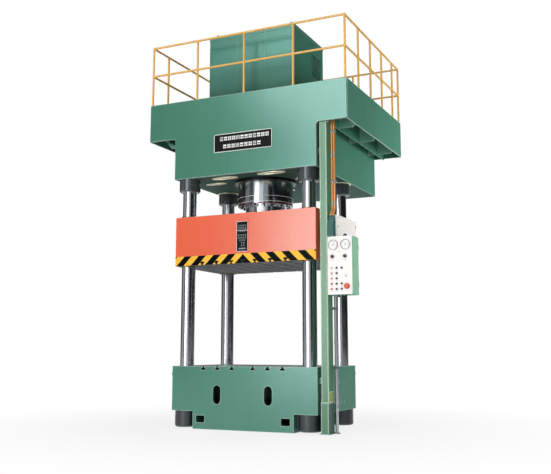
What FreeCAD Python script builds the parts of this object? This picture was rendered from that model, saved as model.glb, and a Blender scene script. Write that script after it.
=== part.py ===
import FreeCAD, Part
import math
import os

from FreeCAD import Vector

# Four-column hydraulic press. Millimetres, +Z up, X across the front, -Y is the
# operator's side. The origin is on the floor, at the centre of the four columns.

X_AXIS = Vector(1, 0, 0)
Y_AXIS = Vector(0, 1, 0)
Z_AXIS = Vector(0, 0, 1)

# ---- driving dimensions --------------------------------------------------------------------------

# bed
bed_width = 2440
bed_depth = 1600
bed_height = 938
overhang_height = 264
table_thickness = 120
bed_wall = 40
bed_web = 40
window_width = 135
window_height = 280
window_x = 430
window_z = 515
pocket_width = 150
pocket_height = 105
pocket_depth = 90
pocket_x = 711
pocket_z = 150
corner_block = 330
casting_round = 8
plate_chamfer = 3

# columns and their nuts, set in from the bed's sides
column_side_inset = 176
column_front_inset = 148
column_radius = 108
spigot_radius = 98
column_bottom = 34
column_top_rise = 280
column_chamfer = 6
nut_radius = 168
inner_nut_height = 201
top_nut_radius = 135
top_nut_height = 230
lower_nut_radius = 172
lower_nut_floor_gap = 20
foot_nut_gap = 30
nut_chamfer = 18
spanner_hole_count = 4
spanner_hole_radius = 14
spanner_hole_depth = 30
thread_gap = 0.3
bore_gap = 0.5

# T-slots of the bed and of the slider
slot_mouth = 36
slot_head = 74
slot_lip = 28
slot_depth = 56
bed_slot_first = 178
bed_slot_pitch = 244
bed_slots_per_side = 3
slider_slot_first = 205
slider_slot_pitch = 256
slider_slots_per_side = 3

# slider
slider_side_inset = 11
slider_front_inset = 5
slider_gland_gap = 203
slider_height = 779
platen_thickness = 120
slider_roof = 60
slider_wall = 40
ram_seat = 860
bush_radius = 124
bush_flange_radius = 138
bush_flange = 12
bush_chamfer = 3
running_gap = 0.08
bush_seat_gap = 0.05

# crown
crown_side_overhang = 16
crown_front_overhang = 23
crown_bottom = 3891
crown_height = 949
crown_depth = 2765
crown_plate = 30
crown_floor = 60
crown_lid = 50
crown_wall = 40
tank_column_gap = 228

# platform round the crown
platform_side_reach = 494
platform_rear_reach = 18
deck_rise = 353
skirt_height = 626
deck_plate = 8
skirt_plate = 12
notch_round = 45
rib_plate = 12
rib_chamfer = 80
rib_first = -300
rib_pitch = 950
rib_count = 3
stringer_post_gap = 14
stringer_drop = 25

# railing
rail_height = 1000
mid_rail_height = 508
rail_radius = 17
rail_wall = 3
rail_inset = 25
rail_weld_gap = 0.5
front_bays = 4
right_bay_pitch = 592
right_bays = 4
left_first_bay = 458
left_bay_pitch = 970
left_bays = 2

# main cylinder and ram
barrel_radius = 450
piston_radius = 350
ram_radius = 320
gland_drop = 417
gland_height = 126
gland_groove = 5
ring_nut_radius = 505
ring_nut_height = 44
ring_nut_chamfer = 8
head_thickness = 100
head_flange_radius = 530
head_flange = 70
port_radius = 80
ram_flange_radius = 410
ram_flange = 70
ram_flange_chamfer = 6
ram_head_gap = 114
piston_height = 180
ram_bolt_count = 12
ram_bolt_radius = 22
ram_bolt_head = 26
gland_bolt_count = 16
gland_bolt_radius = 15
gland_bolt_head = 20
valve_radius = 170
valve_height = 560
valve_chamfer = 12

# machinery housing on the deck
housing_width = 1538
housing_front = 550
housing_rear = 654
housing_height = 1114
housing_wall = 5
motor_radius = 165
motor_length = 430
motor_x = 430
pump_radius = 95
pump_length = 240
motor_foot = 60
machine_foot_inset = 60

# plates on the fronts
name_plate_width = 1020
name_plate_height = 296
name_plate_rise = 514
data_plate_width = 225
data_plate_height = 516
data_plate_x = -14
data_plate_rise = 427
sign_plate = 6
sign_chamfer = 2

# duct post at the right
post_crown_gap = 36
post_plate_gap = 5
post_width = 113
post_depth = 198
post_wall = 4
post_round = 10
base_height = 440
base_margin = 6
base_front_margin = 10
base_rear_margin = 30
cover_height = 140
cover_width = 170
cover_plate = 3
cover_rise = 10
cover_round = 12
bracket_depth = 100
bracket_height = 80
bed_bracket_drop = 234.5
crown_bracket_rise = 200
skirt_bracket_rise = 60

# control box, its panel and what stands on it
box_gap = 6
box_width = 377
box_proud = 7
box_depth = 280
box_bottom = 1968
box_height = 845
box_wall = 3
box_round = 4
panel_plate = 3
panel_chamfer = 1
junction_inset = 5
junction_width = 99
junction_depth = 88
junction_height = 247
gland_block_height = 52
gland_block_depth = 52
gland_block_margin = 10
gland_nut_gap = 0.5
gland_nut_height = 22
cabinet_gap = 5
cabinet_width = 105
cabinet_depth = 860
cabinet_height = 333
cabinet_wall = 3
cabinet_junction_gap = 2
dome_radius = 33
dome_step = 3
dome_side_inset = 118
dome_front_inset = 40

# pipes and conduit
pipe_radius = 17
pipe_post_gap = 29
pipe_pitch = 38
pipe_front_inset = 108
pipe_bend_radius = 70
pipe_clamp_rises = (-251, 509)
clamp_height = 34
clamp_depth = 46
clamp_margin = 9
clamp_gap = 0.3
conduit_radius = 25
conduit_wall = 3
conduit_box_gap = 3
conduit_post_gap = 20
conduit_entry = 20
conduit_clamp_rises = (911, 1763)

# instruments and buttons, as X from the panel's left edge and height over its foot
gauge_radius = 75
gauge_rim = 14
gauge_lip = 7
gauge_recess = 10
gauge_can_radius = 58
gauge_can_depth = 50
gauge_round = 4
gauge_glass_inset = 1
gauge_glass = 2
gauge_first_x = 90
gauge_pitch = 189
gauge_z = 721
needle_length = 52
needle_tail = 16
needle_width = 5
needle_plate = 1.5
needle_pin = 2.5
needle_hub = 10
needle_rest_turn = -25
needle_dial_gap = 2
needle_pin_gap = 3
knob_first_x = 75
knob_pitch = 194
knob_z = 552
knob_radius = 22
knob_height = 24
knob_neck = 9
knob_neck_length = 30
knob_round = 3
knob_flute_count = 8
knob_flute_radius = 4
knob_flute_stop = 6
knob_flute_reach = 2
control_first_x = 61
control_pitch_x = 78
control_top_z = 384
control_pitch_z = 76
button_radius = 15
button_cap = 10
button_travel = 5
button_round = 2
button_stem = 8
button_stem_length = 34
collar_step = 4
collar_height = 4
bezel_width = 4
bezel_height = 8
lamp_radius = 14
lamp_height = 12
lamp_foot_height = 4
lamp_round = 5
stop_x = 294
stop_z = 118
stop_radius = 35
stop_cap = 18
stop_travel = 8
stop_stem = 12
stop_collar_radius = 44
stop_collar_height = 10
blank_lamp_x = 281
blank_lamp_z = 269
small_gap = 0.3
stem_gap = 0.08

# ---- sizes that follow ---------------------------------------------------------------------------

column_x = bed_width / 2 - column_side_inset
column_y = bed_depth / 2 - column_front_inset
lower_nut_height = overhang_height - lower_nut_floor_gap
foot_width = 2 * (column_x - lower_nut_radius - foot_nut_gap)
gland_bottom = crown_bottom - gland_drop
gland_top = gland_bottom + gland_height
slider_width = bed_width - 2 * slider_side_inset
slider_depth = bed_depth - 2 * slider_front_inset
slider_top = gland_bottom - slider_gland_gap
slider_bottom = slider_top - slider_height
crown_width = bed_width + 2 * crown_side_overhang
crown_front = bed_depth / 2 + crown_front_overhang
crown_rear = crown_depth - crown_front
crown_top = crown_bottom + crown_height
crown_back_of_plate = crown_front - crown_plate
head_top = crown_top + head_flange
ram_length = head_top - head_thickness - ram_head_gap - slider_top
tank_front = column_y + tank_column_gap
platform_width = crown_width + 2 * platform_side_reach
platform_rear = crown_rear + platform_rear_reach
deck_top = crown_top + deck_rise
deck_bottom = deck_top - deck_plate
skirt_bottom = deck_top - skirt_height
rail_z = deck_top + rail_height
mid_rail_z = deck_top + mid_rail_height
housing_top = deck_top + housing_height
post_left = crown_width / 2 + post_crown_gap
post_right = post_left + post_width
post_front = crown_back_of_plate - post_plate_gap
post_rear = post_depth - post_front
stringer_x = post_right + stringer_post_gap + rib_plate / 2
box_left = post_right + box_gap
box_right = box_left + box_width
box_front = post_front + box_proud
box_rear = box_depth - box_front
box_top = box_bottom + box_height
panel_face = -(box_front + panel_plate)
pipe_first_x = post_right + pipe_post_gap + pipe_radius
pipe_y = pipe_front_inset - post_front
conduit_x = box_left + box_wall + conduit_box_gap + conduit_radius
conduit_y = post_rear + conduit_post_gap
column_places = [(sx * column_x, sy * column_y) for sy in (-1, 1) for sx in (-1, 1)]


# ---- helpers -------------------------------------------------------------------------------------

def block(x0, x1, y0, y1, z0, z1):
    """A box between two opposite corners."""
    return Part.makeBox(x1 - x0, y1 - y0, z1 - z0, Vector(x0, y0, z0))


def rod(radius, length, start, axis=Z_AXIS):
    return Part.makeCylinder(radius, length, Vector(*start), axis)


def tube(radius, wall, length, start, axis=Z_AXIS):
    return rod(radius, length, start, axis).cut(rod(radius - wall, length, start, axis))


def ring(outer, inner, length, start, axis=Z_AXIS):
    return rod(outer, length, start, axis).cut(rod(inner, length, start, axis))


def fuse_all(shapes):
    first = shapes[0]
    if len(shapes) > 1:
        first = first.multiFuse(shapes[1:])
    return first.removeSplitter()


def cut_all(shape, tools):
    for tool in tools:
        shape = shape.cut(tool)
    return shape


def extruded(points, direction):
    """A straight-sided outline pushed along a direction."""
    wire = Part.makePolygon([Vector(*p) for p in points] + [Vector(*points[0])])
    return Part.Face(wire).extrude(direction)


def edges_along(shape, axis):
    """The straight edges that run along an axis."""
    found = []
    for edge in shape.Edges:
        run = edge.Vertexes[-1].Point.sub(edge.Vertexes[0].Point)
        if run.Length > 1 and abs(run.normalize().dot(axis)) > 0.999:
            found.append(edge)
    return found


def edges_on_plane(shape, axis, place):
    """The edges that lie whole in a plane square to an axis."""
    found = []
    for edge in shape.Edges:
        if all(abs(v.Point.dot(axis) - place) < 0.01 for v in edge.Vertexes):
            found.append(edge)
    return found


def save(node, *shapes):
    solids = [solid for shape in shapes for solid in shape.Solids]
    for solid in solids:
        if not solid.isValid():
            raise ValueError("bad solid in " + node)
    result = solids[0] if len(solids) == 1 else Part.makeCompound(solids)
    result.exportStep("parts/" + node + ".step")
    print(node, len(solids), round(sum(s.Volume for s in solids) / 1e6, 2))


def slot_places(first, pitch, per_side, centre):
    places = [first + pitch * i for i in range(per_side)]
    return [-x for x in places] + ([0] if centre else []) + places


def t_slot(x, face_z, into, depth):
    """A T-slot cutter along Y. The slot goes into the face by +1 or -1 in Z."""
    over = 10
    outline = [(-slot_mouth / 2, -over), (-slot_mouth / 2, slot_lip), (-slot_head / 2, slot_lip),
               (-slot_head / 2, slot_depth), (slot_head / 2, slot_depth), (slot_head / 2, slot_lip),
               (slot_mouth / 2, slot_lip), (slot_mouth / 2, -over)]
    points = [(x + across, -depth / 2 - over, face_z + into * down) for across, down in outline]
    return extruded(points, Vector(0, depth + 2 * over, 0))


def obround(width, height, x, z, y, length):
    """An upright rounded hole cutter along Y."""
    radius = width / 2
    straight = height / 2 - radius
    low = rod(radius, length, (x, y, z - straight), Y_AXIS)
    high = rod(radius, length, (x, y, z + straight), Y_AXIS)
    middle = block(x - radius, x + radius, y, y + length, z - straight, z + straight)
    return low.fuse(high).fuse(middle)


# ---- bed -----------------------------------------------------------------------------------------

def bed_frame():
    """The welded box under the table: a foot with side overhangs for the columns."""
    half = bed_width / 2
    foot = foot_width / 2
    top = bed_height - table_thickness
    outline = [(-foot, 0), (foot, 0), (foot, overhang_height), (half, overhang_height),
               (half, top), (-half, top), (-half, overhang_height), (-foot, overhang_height)]
    points = [(x, -bed_depth / 2, z) for x, z in outline]
    shape = extruded(points, Vector(0, bed_depth, 0))
    corner = [e for e in edges_along(shape, Z_AXIS) if abs(abs(e.Vertexes[0].X) - half) < 1]
    under = [e for e in edges_on_plane(shape, Z_AXIS, overhang_height) if abs(e.Vertexes[0].X) > foot + 1
             and abs(e.Vertexes[1].X) > foot + 1]
    shape = shape.makeFillet(casting_round, corner + under)
    inner = bed_depth / 2 - bed_wall
    cells = []
    for side in (-1, 1):
        near = bed_web / 2
        far = foot - bed_wall
        x0, x1 = sorted((side * near, side * far))
        cells.append(block(x0, x1, -inner, inner, bed_wall, top))
        x0, x1 = sorted((side * (foot + bed_wall), side * (half - bed_wall)))
        free = bed_depth / 2 - corner_block
        cells.append(block(x0, x1, -free, free, overhang_height + bed_wall, top))
        cells.append(obround(window_width, window_height, side * window_x, window_z,
                             -bed_depth / 2 - 1, bed_depth + 2))
        for face in (-1, 1):
            y0, y1 = sorted((face * (bed_depth / 2 + 1), face * (bed_depth / 2 - pocket_depth)))
            cells.append(block(side * pocket_x - pocket_width / 2, side * pocket_x + pocket_width / 2,
                               y0, y1, pocket_z - pocket_height / 2, pocket_z + pocket_height / 2))
    bores = [rod(spigot_radius + bore_gap, bed_height, (x, y, 0)) for x, y in column_places]
    return cut_all(shape, cells + bores)


def bed_table():
    """The T-slotted plate on top of the bed."""
    half = bed_width / 2
    shape = block(-half, half, -bed_depth / 2, bed_depth / 2, bed_height - table_thickness, bed_height)
    shape = shape.makeFillet(casting_round, edges_along(shape, Z_AXIS))
    shape = shape.makeChamfer(plate_chamfer, edges_on_plane(shape, Z_AXIS, bed_height))
    slots = [t_slot(x, bed_height, -1, bed_depth)
             for x in slot_places(bed_slot_first, bed_slot_pitch, bed_slots_per_side, False)]
    bores = [rod(spigot_radius + bore_gap, table_thickness + 2, (x, y, bed_height - table_thickness - 1))
             for x, y in column_places]
    return cut_all(shape, slots + bores)


# ---- columns and nuts ----------------------------------------------------------------------------

def column(x, y):
    """A polished column with a thinner threaded end below and above."""
    shaft_top = crown_bottom - inner_nut_height
    lower = rod(spigot_radius, bed_height - column_bottom, (x, y, column_bottom))
    shaft = rod(column_radius, shaft_top - bed_height, (x, y, bed_height))
    upper = rod(spigot_radius, crown_top + column_top_rise - shaft_top, (x, y, shaft_top))
    shape = fuse_all([lower, shaft, upper])
    ends = [e for z in (column_bottom, crown_top + column_top_rise) for e in edges_on_plane(shape, Z_AXIS, z)]
    return shape.makeChamfer(column_chamfer, ends)


def round_nut(x, y, radius, bottom, height, chamfered):
    """A round column nut with spanner holes. chamfered lists the heights of its broken rims."""
    shape = rod(radius, height, (x, y, bottom))
    rims = [e for z in chamfered for e in edges_on_plane(shape, Z_AXIS, z)]
    shape = shape.makeChamfer(nut_chamfer, rims)
    shape = shape.cut(rod(spigot_radius + thread_gap, height + 2, (x, y, bottom - 1)))
    holes = []
    for number in range(spanner_hole_count):
        angle = 2 * math.pi * (number + 0.5) / spanner_hole_count
        outward = Vector(math.cos(angle), math.sin(angle), 0)
        start = Vector(x, y, bottom + height / 2) + outward * (radius - spanner_hole_depth)
        holes.append(rod(spanner_hole_radius, 2 * spanner_hole_depth, start, outward))
    return cut_all(shape, holes)


def inner_nuts():
    bottom = crown_bottom - inner_nut_height
    return [round_nut(x, y, nut_radius, bottom, inner_nut_height, [bottom]) for x, y in column_places]


def top_nuts():
    top = crown_top + top_nut_height
    return [round_nut(x, y, top_nut_radius, crown_top, top_nut_height, [top]) for x, y in column_places]


def lower_nuts():
    bottom = overhang_height - lower_nut_height
    return [round_nut(x, y, lower_nut_radius, bottom, lower_nut_height, [bottom]) for x, y in column_places]


# ---- crown ---------------------------------------------------------------------------------------

def crown_body():
    """The welded crown box: cylinder well in front, oil tank behind, and its lid plate."""
    half = crown_width / 2
    front = -crown_back_of_plate
    under_lid = crown_top - crown_lid
    shape = block(-half, half, front, crown_rear, crown_bottom, under_lid)
    low_sides = [e for e in edges_on_plane(shape, Z_AXIS, crown_bottom)
                 if abs(e.Vertexes[0].Y - front) > 1 or abs(e.Vertexes[1].Y - front) > 1]
    shape = shape.makeFillet(casting_round, low_sides)
    floor = crown_bottom + crown_floor
    well = barrel_radius + crown_wall
    cells = [block(-half + crown_wall, half - crown_wall, tank_front, crown_rear - crown_wall,
                   floor, under_lid)]
    inner_rear = tank_front - crown_wall
    for side in (-1, 1):
        x0, x1 = sorted((side * (well + crown_wall), side * (half - crown_wall)))
        free = column_y - nut_radius - bore_gap
        cells.append(block(x0, x1, -free, free, floor, under_lid))
    cells.append(block(-well, well, well, inner_rear, floor, under_lid))
    bore = rod(barrel_radius + bore_gap, crown_height, (0, 0, crown_bottom))
    bores = [rod(spigot_radius + bore_gap, crown_height, (x, y, crown_bottom)) for x, y in column_places]
    box = cut_all(shape, cells + [bore] + bores)
    lid = block(-half, half, front, crown_rear, under_lid, crown_top)
    return [box, cut_all(lid, [bore] + bores)]


def crown_front_plate():
    """One plate that faces the crown and, wider above, the platform."""
    narrow = crown_width / 2
    wide = platform_width / 2
    front = -crown_front
    outline = [(-narrow, crown_bottom), (narrow, crown_bottom), (narrow, skirt_bottom), (wide, skirt_bottom),
               (wide, deck_top), (-wide, deck_top), (-wide, skirt_bottom), (-narrow, skirt_bottom)]
    shape = extruded([(x, front, z) for x, z in outline], Vector(0, crown_plate, 0))
    notch = [e for e in edges_along(shape, Y_AXIS)
             if abs(e.Vertexes[0].Z - skirt_bottom) < 1 and abs(e.Vertexes[0].X) < narrow + 1]
    shape = shape.makeFillet(notch_round, notch)
    rim = [e for e in shape.Edges if all(abs(v.Y - front) < 0.01 for v in e.Vertexes)]
    return shape.makeFillet(casting_round, rim)


# ---- platform ------------------------------------------------------------------------------------

def platform_skirts():
    wide = platform_width / 2
    front = -crown_back_of_plate
    rear = platform_rear - skirt_plate
    right = block(wide - skirt_plate, wide, front, rear, skirt_bottom, deck_top)
    left = block(-wide, skirt_plate - wide, front, rear, skirt_bottom, deck_top)
    back = block(-wide, wide, rear, platform_rear, skirt_bottom, deck_top)
    return [right, left, back]


def platform_ribs():
    """Brackets from the crown's sides to the skirts, with a cut outer corner."""
    inner = crown_width / 2
    outer = platform_width / 2 - skirt_plate
    outline = [(inner, skirt_bottom), (outer - rib_chamfer, skirt_bottom),
               (outer, skirt_bottom + rib_chamfer), (outer, deck_bottom), (inner, deck_bottom)]
    ribs = []
    for number in range(rib_count):
        y = rib_first + rib_pitch * number
        for side in (-1, 1):
            points = [(side * x, y, z) for x, z in outline]
            ribs.append(extruded(points, Vector(0, rib_plate, 0)))
    return ribs


def platform_stringers():
    """Long plates under the deck, notched over the ribs."""
    stringers = []
    for side in (-1, 1):
        x = side * stringer_x
        beam = block(x - rib_plate / 2, x + rib_plate / 2, -crown_back_of_plate, platform_rear - skirt_plate,
                     skirt_bottom - stringer_drop, deck_bottom)
        stringers.append(cut_all(beam, platform_ribs()))
    return stringers


def platform_deck():
    half = platform_width / 2 - skirt_plate
    plate = block(-half, half, -crown_back_of_plate, platform_rear - skirt_plate, deck_bottom, deck_top)
    return plate.cut(rod(valve_radius + bore_gap, deck_plate + 2, (0, 0, deck_bottom - 1)))


# ---- railing -------------------------------------------------------------------------------------

def rail_post(x, y, is_corner):
    top = rail_z + rail_radius if is_corner else rail_z
    post = tube(rail_radius, rail_wall, top - deck_top, (x, y, deck_top))
    if is_corner:
        post = post.fuse(rod(rail_radius - rail_wall / 2, rail_wall, (x, y, top - rail_wall)))
    return post.removeSplitter()


def rail_run(start, end, z):
    """A level tube from one point to another, as a hollow tube and as its full rod."""
    a = Vector(start[0], start[1], z)
    b = Vector(end[0], end[1], z)
    along = b.sub(a)
    length = along.Length
    along.normalize()
    return tube(rail_radius, rail_wall, length, (a.x, a.y, a.z), along)


def corner_crossings(corners):
    """The front and rear rails where a side railing meets them, a welding gap wider."""
    clear = rail_radius + rail_weld_gap
    return [rod(clear, 2 * rail_radius, (x, y, z), Vector(-x, 0, 0))
            for x, y in corners for z in (mid_rail_z, rail_z)]


def railing(places, own_corners):
    """Posts along one side, a top rail over them and a mid rail between them."""
    top_rod = rod(rail_radius, (Vector(*places[-1], 0) - Vector(*places[0], 0)).Length,
                  (*places[0], rail_z), Vector(*places[-1], 0) - Vector(*places[0], 0))
    clear = rail_radius if own_corners else rail_radius + rail_weld_gap
    corner_rods = [rod(clear, 2 * rail_height, (*p, deck_top)) for p in (places[0], places[-1])]
    crossings = [] if own_corners else corner_crossings((places[0], places[-1]))
    pieces = []
    if own_corners:
        pieces += [rail_post(*p, True) for p in (places[0], places[-1])]
    pieces += [rail_post(*p, False).cut(top_rod) for p in places[1:-1]]
    pieces.append(cut_all(rail_run(places[0], places[-1], rail_z), corner_rods + crossings))
    for a, b in zip(places, places[1:]):
        posts = [rod(clear, 2 * rail_height, (*p, deck_top)) for p in (a, b)]
        pieces.append(cut_all(rail_run(a, b, mid_rail_z), posts + crossings))
    return pieces


def rail_corners():
    """X of the side rails, and Y of the front and rear rails."""
    return platform_width / 2 - rail_inset, rail_inset - crown_front, platform_rear - rail_inset


def railing_across(y):
    x, _, _ = rail_corners()
    pitch = 2 * x / front_bays
    return railing([(-x + pitch * i, y) for i in range(front_bays + 1)], True)


def railing_right():
    x, front, rear = rail_corners()
    return railing([(x, front + right_bay_pitch * i) for i in range(right_bays + 1)] + [(x, rear)], False)


def railing_left():
    x, front, rear = rail_corners()
    middle = [(-x, front + left_first_bay + left_bay_pitch * i) for i in range(left_bays + 1)]
    return railing([(-x, front)] + middle + [(-x, rear)], False)


# ---- main cylinder and ram -----------------------------------------------------------------------

def main_cylinder():
    """The barrel hung in the crown, with a head flange on the crown's lid."""
    barrel = rod(barrel_radius, crown_top - gland_top, (0, 0, gland_top))
    flange = rod(head_flange_radius, head_flange, (0, 0, crown_top))
    bore = rod(piston_radius, head_top - head_thickness - gland_top, (0, 0, gland_top))
    port = rod(port_radius, head_thickness + 2, (0, 0, head_top - head_thickness - 1))
    return cut_all(barrel.fuse(flange).removeSplitter(), [bore, port])


def gland_ring():
    """The bolted ring that closes the barrel round the ram."""
    shape = rod(barrel_radius, gland_height, (0, 0, gland_bottom))
    shape = shape.makeChamfer(gland_groove, edges_on_plane(shape, Z_AXIS, gland_top))
    shape = shape.makeChamfer(2 * gland_groove, edges_on_plane(shape, Z_AXIS, gland_bottom))
    return shape.cut(rod(ram_radius + running_gap, gland_height + 2, (0, 0, gland_bottom - 1)))


def bolt_circle(count, radius, bolt_radius, head, face_z, direction):
    """Hexagon bolt heads on a circle, standing out of a face by +1 or -1 in Z."""
    heads = []
    for number in range(count):
        turn = 2 * math.pi * number / count
        corners = []
        for k in range(6):
            angle = turn + math.pi / 3 * k
            corners.append((radius * math.cos(turn) + bolt_radius * math.cos(angle),
                            radius * math.sin(turn) + bolt_radius * math.sin(angle), face_z))
        heads.append(extruded(corners, Vector(0, 0, direction * head)))
    return heads


def gland_screws():
    circle = (ram_radius + barrel_radius) / 2
    return bolt_circle(gland_bolt_count, circle, gland_bolt_radius, gland_bolt_head, gland_bottom, -1)


def ram_screws():
    circle = (ram_radius + ram_flange_radius) / 2
    return bolt_circle(ram_bolt_count, circle, ram_bolt_radius, ram_bolt_head, slider_top + ram_flange, 1)


def cylinder_ring_nut():
    bottom = crown_bottom - ring_nut_height
    shape = ring(ring_nut_radius, barrel_radius + thread_gap, ring_nut_height, (0, 0, bottom))
    outer = [e for e in edges_on_plane(shape, Z_AXIS, bottom) if e.Curve.Radius > barrel_radius + 1]
    return shape.makeChamfer(ring_nut_chamfer, outer)


def ram():
    """The ram with its piston above and its flange below, on the slider's top."""
    flange = rod(ram_flange_radius, ram_flange, (0, 0, slider_top))
    shaft = rod(ram_radius, ram_length - ram_flange, (0, 0, slider_top + ram_flange))
    piston = rod(piston_radius - running_gap, piston_height, (0, 0, slider_top + ram_length - piston_height))
    shape = fuse_all([flange, shaft, piston])
    rim = [e for e in edges_on_plane(shape, Z_AXIS, slider_top + ram_flange)
           if e.Curve.Radius > ram_radius + 1]
    return shape.makeChamfer(ram_flange_chamfer, rim)


# ---- slider --------------------------------------------------------------------------------------

def slider_frame():
    """The welded slider box above its T-slotted platen."""
    half = slider_width / 2
    deep = slider_depth / 2
    bottom = slider_bottom + platen_thickness
    shape = block(-half, half, -deep, deep, bottom, slider_top)
    edges = edges_along(shape, Z_AXIS) + edges_on_plane(shape, Z_AXIS, slider_top)
    shape = shape.makeFillet(casting_round, edges)
    roof = slider_top - slider_roof
    guide = half - corner_block
    seat = ram_seat / 2
    free = deep - corner_block
    cells = [block(slider_wall - seat, seat - slider_wall, slider_wall - seat, seat - slider_wall,
                   bottom, roof - slider_roof)]
    for side in (-1, 1):
        y0, y1 = sorted((side * seat, side * (deep - slider_wall)))
        cells.append(block(-seat, seat, y0, y1, bottom, roof))
        x0, x1 = sorted((side * (seat + slider_wall), side * (guide - slider_wall)))
        cells.append(block(x0, x1, slider_wall - deep, deep - slider_wall, bottom, roof))
        x0, x1 = sorted((side * guide, side * (half - slider_wall)))
        cells.append(block(x0, x1, -free, free, bottom, roof))
    bores = [rod(bush_radius + bush_seat_gap, slider_height, (x, y, bottom)) for x, y in column_places]
    return cut_all(shape, cells + bores)


def slider_platen():
    half = slider_width / 2
    deep = slider_depth / 2
    shape = block(-half, half, -deep, deep, slider_bottom, slider_bottom + platen_thickness)
    shape = shape.makeFillet(casting_round, edges_along(shape, Z_AXIS))
    shape = shape.makeChamfer(plate_chamfer, edges_on_plane(shape, Z_AXIS, slider_bottom))
    slots = [t_slot(x, slider_bottom, 1, slider_depth)
             for x in slot_places(slider_slot_first, slider_slot_pitch, slider_slots_per_side, True)]
    bores = [rod(bush_radius + bush_seat_gap, platen_thickness + 2, (x, y, slider_bottom - 1))
             for x, y in column_places]
    return cut_all(shape, slots + bores)


def guide_bushes():
    """Bushes through the slider's corners, each with a wiper flange below and above."""
    bushes = []
    for x, y in column_places:
        sleeve = rod(bush_radius, slider_height, (x, y, slider_bottom))
        low = rod(bush_flange_radius, bush_flange, (x, y, slider_bottom - bush_flange))
        high = rod(bush_flange_radius, bush_flange, (x, y, slider_top))
        body = fuse_all([low, sleeve, high])
        outer = [e for z in (slider_bottom - bush_flange, slider_top + bush_flange)
                 for e in edges_on_plane(body, Z_AXIS, z)]
        body = body.makeChamfer(bush_chamfer, outer)
        length = slider_height + 2 * bush_flange + 2
        bore = rod(column_radius + running_gap, length, (x, y, slider_bottom - bush_flange - 1))
        bushes.append(body.cut(bore))
    return bushes


def front_sign(x, z, width, height, face_y):
    """A flat sign plate with eased edges on a front face."""
    shape = block(x - width / 2, x + width / 2, face_y - sign_plate, face_y, z - height / 2, z + height / 2)
    rim = edges_on_plane(shape, Y_AXIS, face_y - sign_plate)
    return shape.makeChamfer(sign_chamfer, rim)


# ---- machinery on the deck -----------------------------------------------------------------------

def machinery_housing():
    half = housing_width / 2
    under = housing_top - housing_wall
    shell = block(-half, half, -housing_front, housing_rear, deck_top, under)
    shell = shell.makeFillet(casting_round, edges_along(shell, Z_AXIS))
    inside = block(housing_wall - half, half - housing_wall, housing_wall - housing_front,
                   housing_rear - housing_wall, deck_top, under)
    roof = block(-half, half, -housing_front, housing_rear, under, housing_top)
    roof = roof.makeFillet(casting_round, edges_along(roof, Z_AXIS))
    return [shell.cut(inside), roof]


def pump_unit():
    """A motor and a pump on one bedplate inside the housing."""
    axis_z = deck_top + motor_foot + motor_radius
    start_y = -motor_length / 2
    motor = rod(motor_radius, motor_length, (motor_x, start_y, axis_z), Y_AXIS)
    feet = block(motor_x - motor_radius, motor_x + motor_radius, start_y + machine_foot_inset,
                 start_y + motor_length - machine_foot_inset, deck_top, axis_z - motor_radius / 2)
    pump_y = start_y + motor_length
    pump = rod(pump_radius, pump_length, (motor_x, pump_y, axis_z), Y_AXIS)
    stand = block(motor_x - pump_radius / 2, motor_x + pump_radius / 2, pump_y + machine_foot_inset,
                  pump_y + pump_length - machine_foot_inset, deck_top, axis_z)
    return [fuse_all([motor, feet]), fuse_all([pump, stand])]


def filling_valve():
    """The valve body that stands on the cylinder head and comes up through the deck."""
    body = rod(valve_radius, valve_height, (0, 0, head_top))
    body = body.makeChamfer(valve_chamfer, edges_on_plane(body, Z_AXIS, head_top + valve_height))
    return body.cut(rod(port_radius, valve_height / 2, (0, 0, head_top)))


# ---- duct post -----------------------------------------------------------------------------------

def duct_post():
    shape = block(post_left, post_right, -post_front, post_rear, base_height, deck_bottom)
    shape = shape.makeFillet(post_round, edges_along(shape, Z_AXIS))
    inside = block(post_left + post_wall, post_right - post_wall, post_wall - post_front,
                   post_rear - post_wall, base_height, deck_bottom)
    return shape.cut(inside)


def duct_base():
    """The wider shoe that the post stands in, closed on top."""
    x0 = post_left - base_margin
    x1 = post_right
    y0 = -post_front - base_front_margin
    y1 = post_rear + base_rear_margin
    shape = block(x0, x1, y0, y1, 0, base_height)
    shape = shape.makeFillet(post_round, edges_along(shape, Z_AXIS))
    inside = block(x0 + post_wall, x1 - post_wall, y0 + post_wall, y1 - post_wall, 0, base_height - post_wall)
    return shape.cut(inside)


def duct_cover():
    """A small access cover on the post's outer side, just over its shoe."""
    middle = (post_rear - post_front) / 2
    low = base_height + cover_rise
    shape = block(post_right, post_right + cover_plate, middle - cover_width / 2, middle + cover_width / 2,
                  low, low + cover_height)
    return shape.makeFillet(cover_round, edges_along(shape, X_AXIS))


def duct_brackets():
    """Spacers that hold the post to the bed and the crown, and what hangs on the post."""
    y0 = (post_rear - post_front - bracket_depth) / 2
    y1 = y0 + bracket_depth
    spacers = []
    for face_x, z in ((bed_width / 2, bed_height - bed_bracket_drop),
                      (crown_width / 2, crown_bottom + crown_bracket_rise),
                      (crown_width / 2, skirt_bottom + skirt_bracket_rise)):
        spacers.append(block(face_x, post_left, y0, y1, z, z + bracket_height))
    for z in (box_bottom + bracket_height, box_top - 2 * bracket_height):
        spacers.append(block(post_right, box_left, y0, y1, z, z + bracket_height))
    cabinet_y = terminal_front()
    spacers.append(block(post_right, post_right + cabinet_gap, cabinet_y, post_rear,
                         box_top + bracket_height, box_top + 2 * bracket_height))
    return spacers


# ---- pipes, conduit and their clamps -------------------------------------------------------------

def junction_front():
    return junction_inset - box_front


def junction_middle():
    return junction_front() + junction_depth / 2


def terminal_front():
    return junction_front() + junction_depth + cabinet_junction_gap


def pipe_xs():
    return [pipe_first_x, pipe_first_x + pipe_pitch]


def gland_top_z():
    return box_top + junction_height + gland_block_height + gland_nut_height


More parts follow.
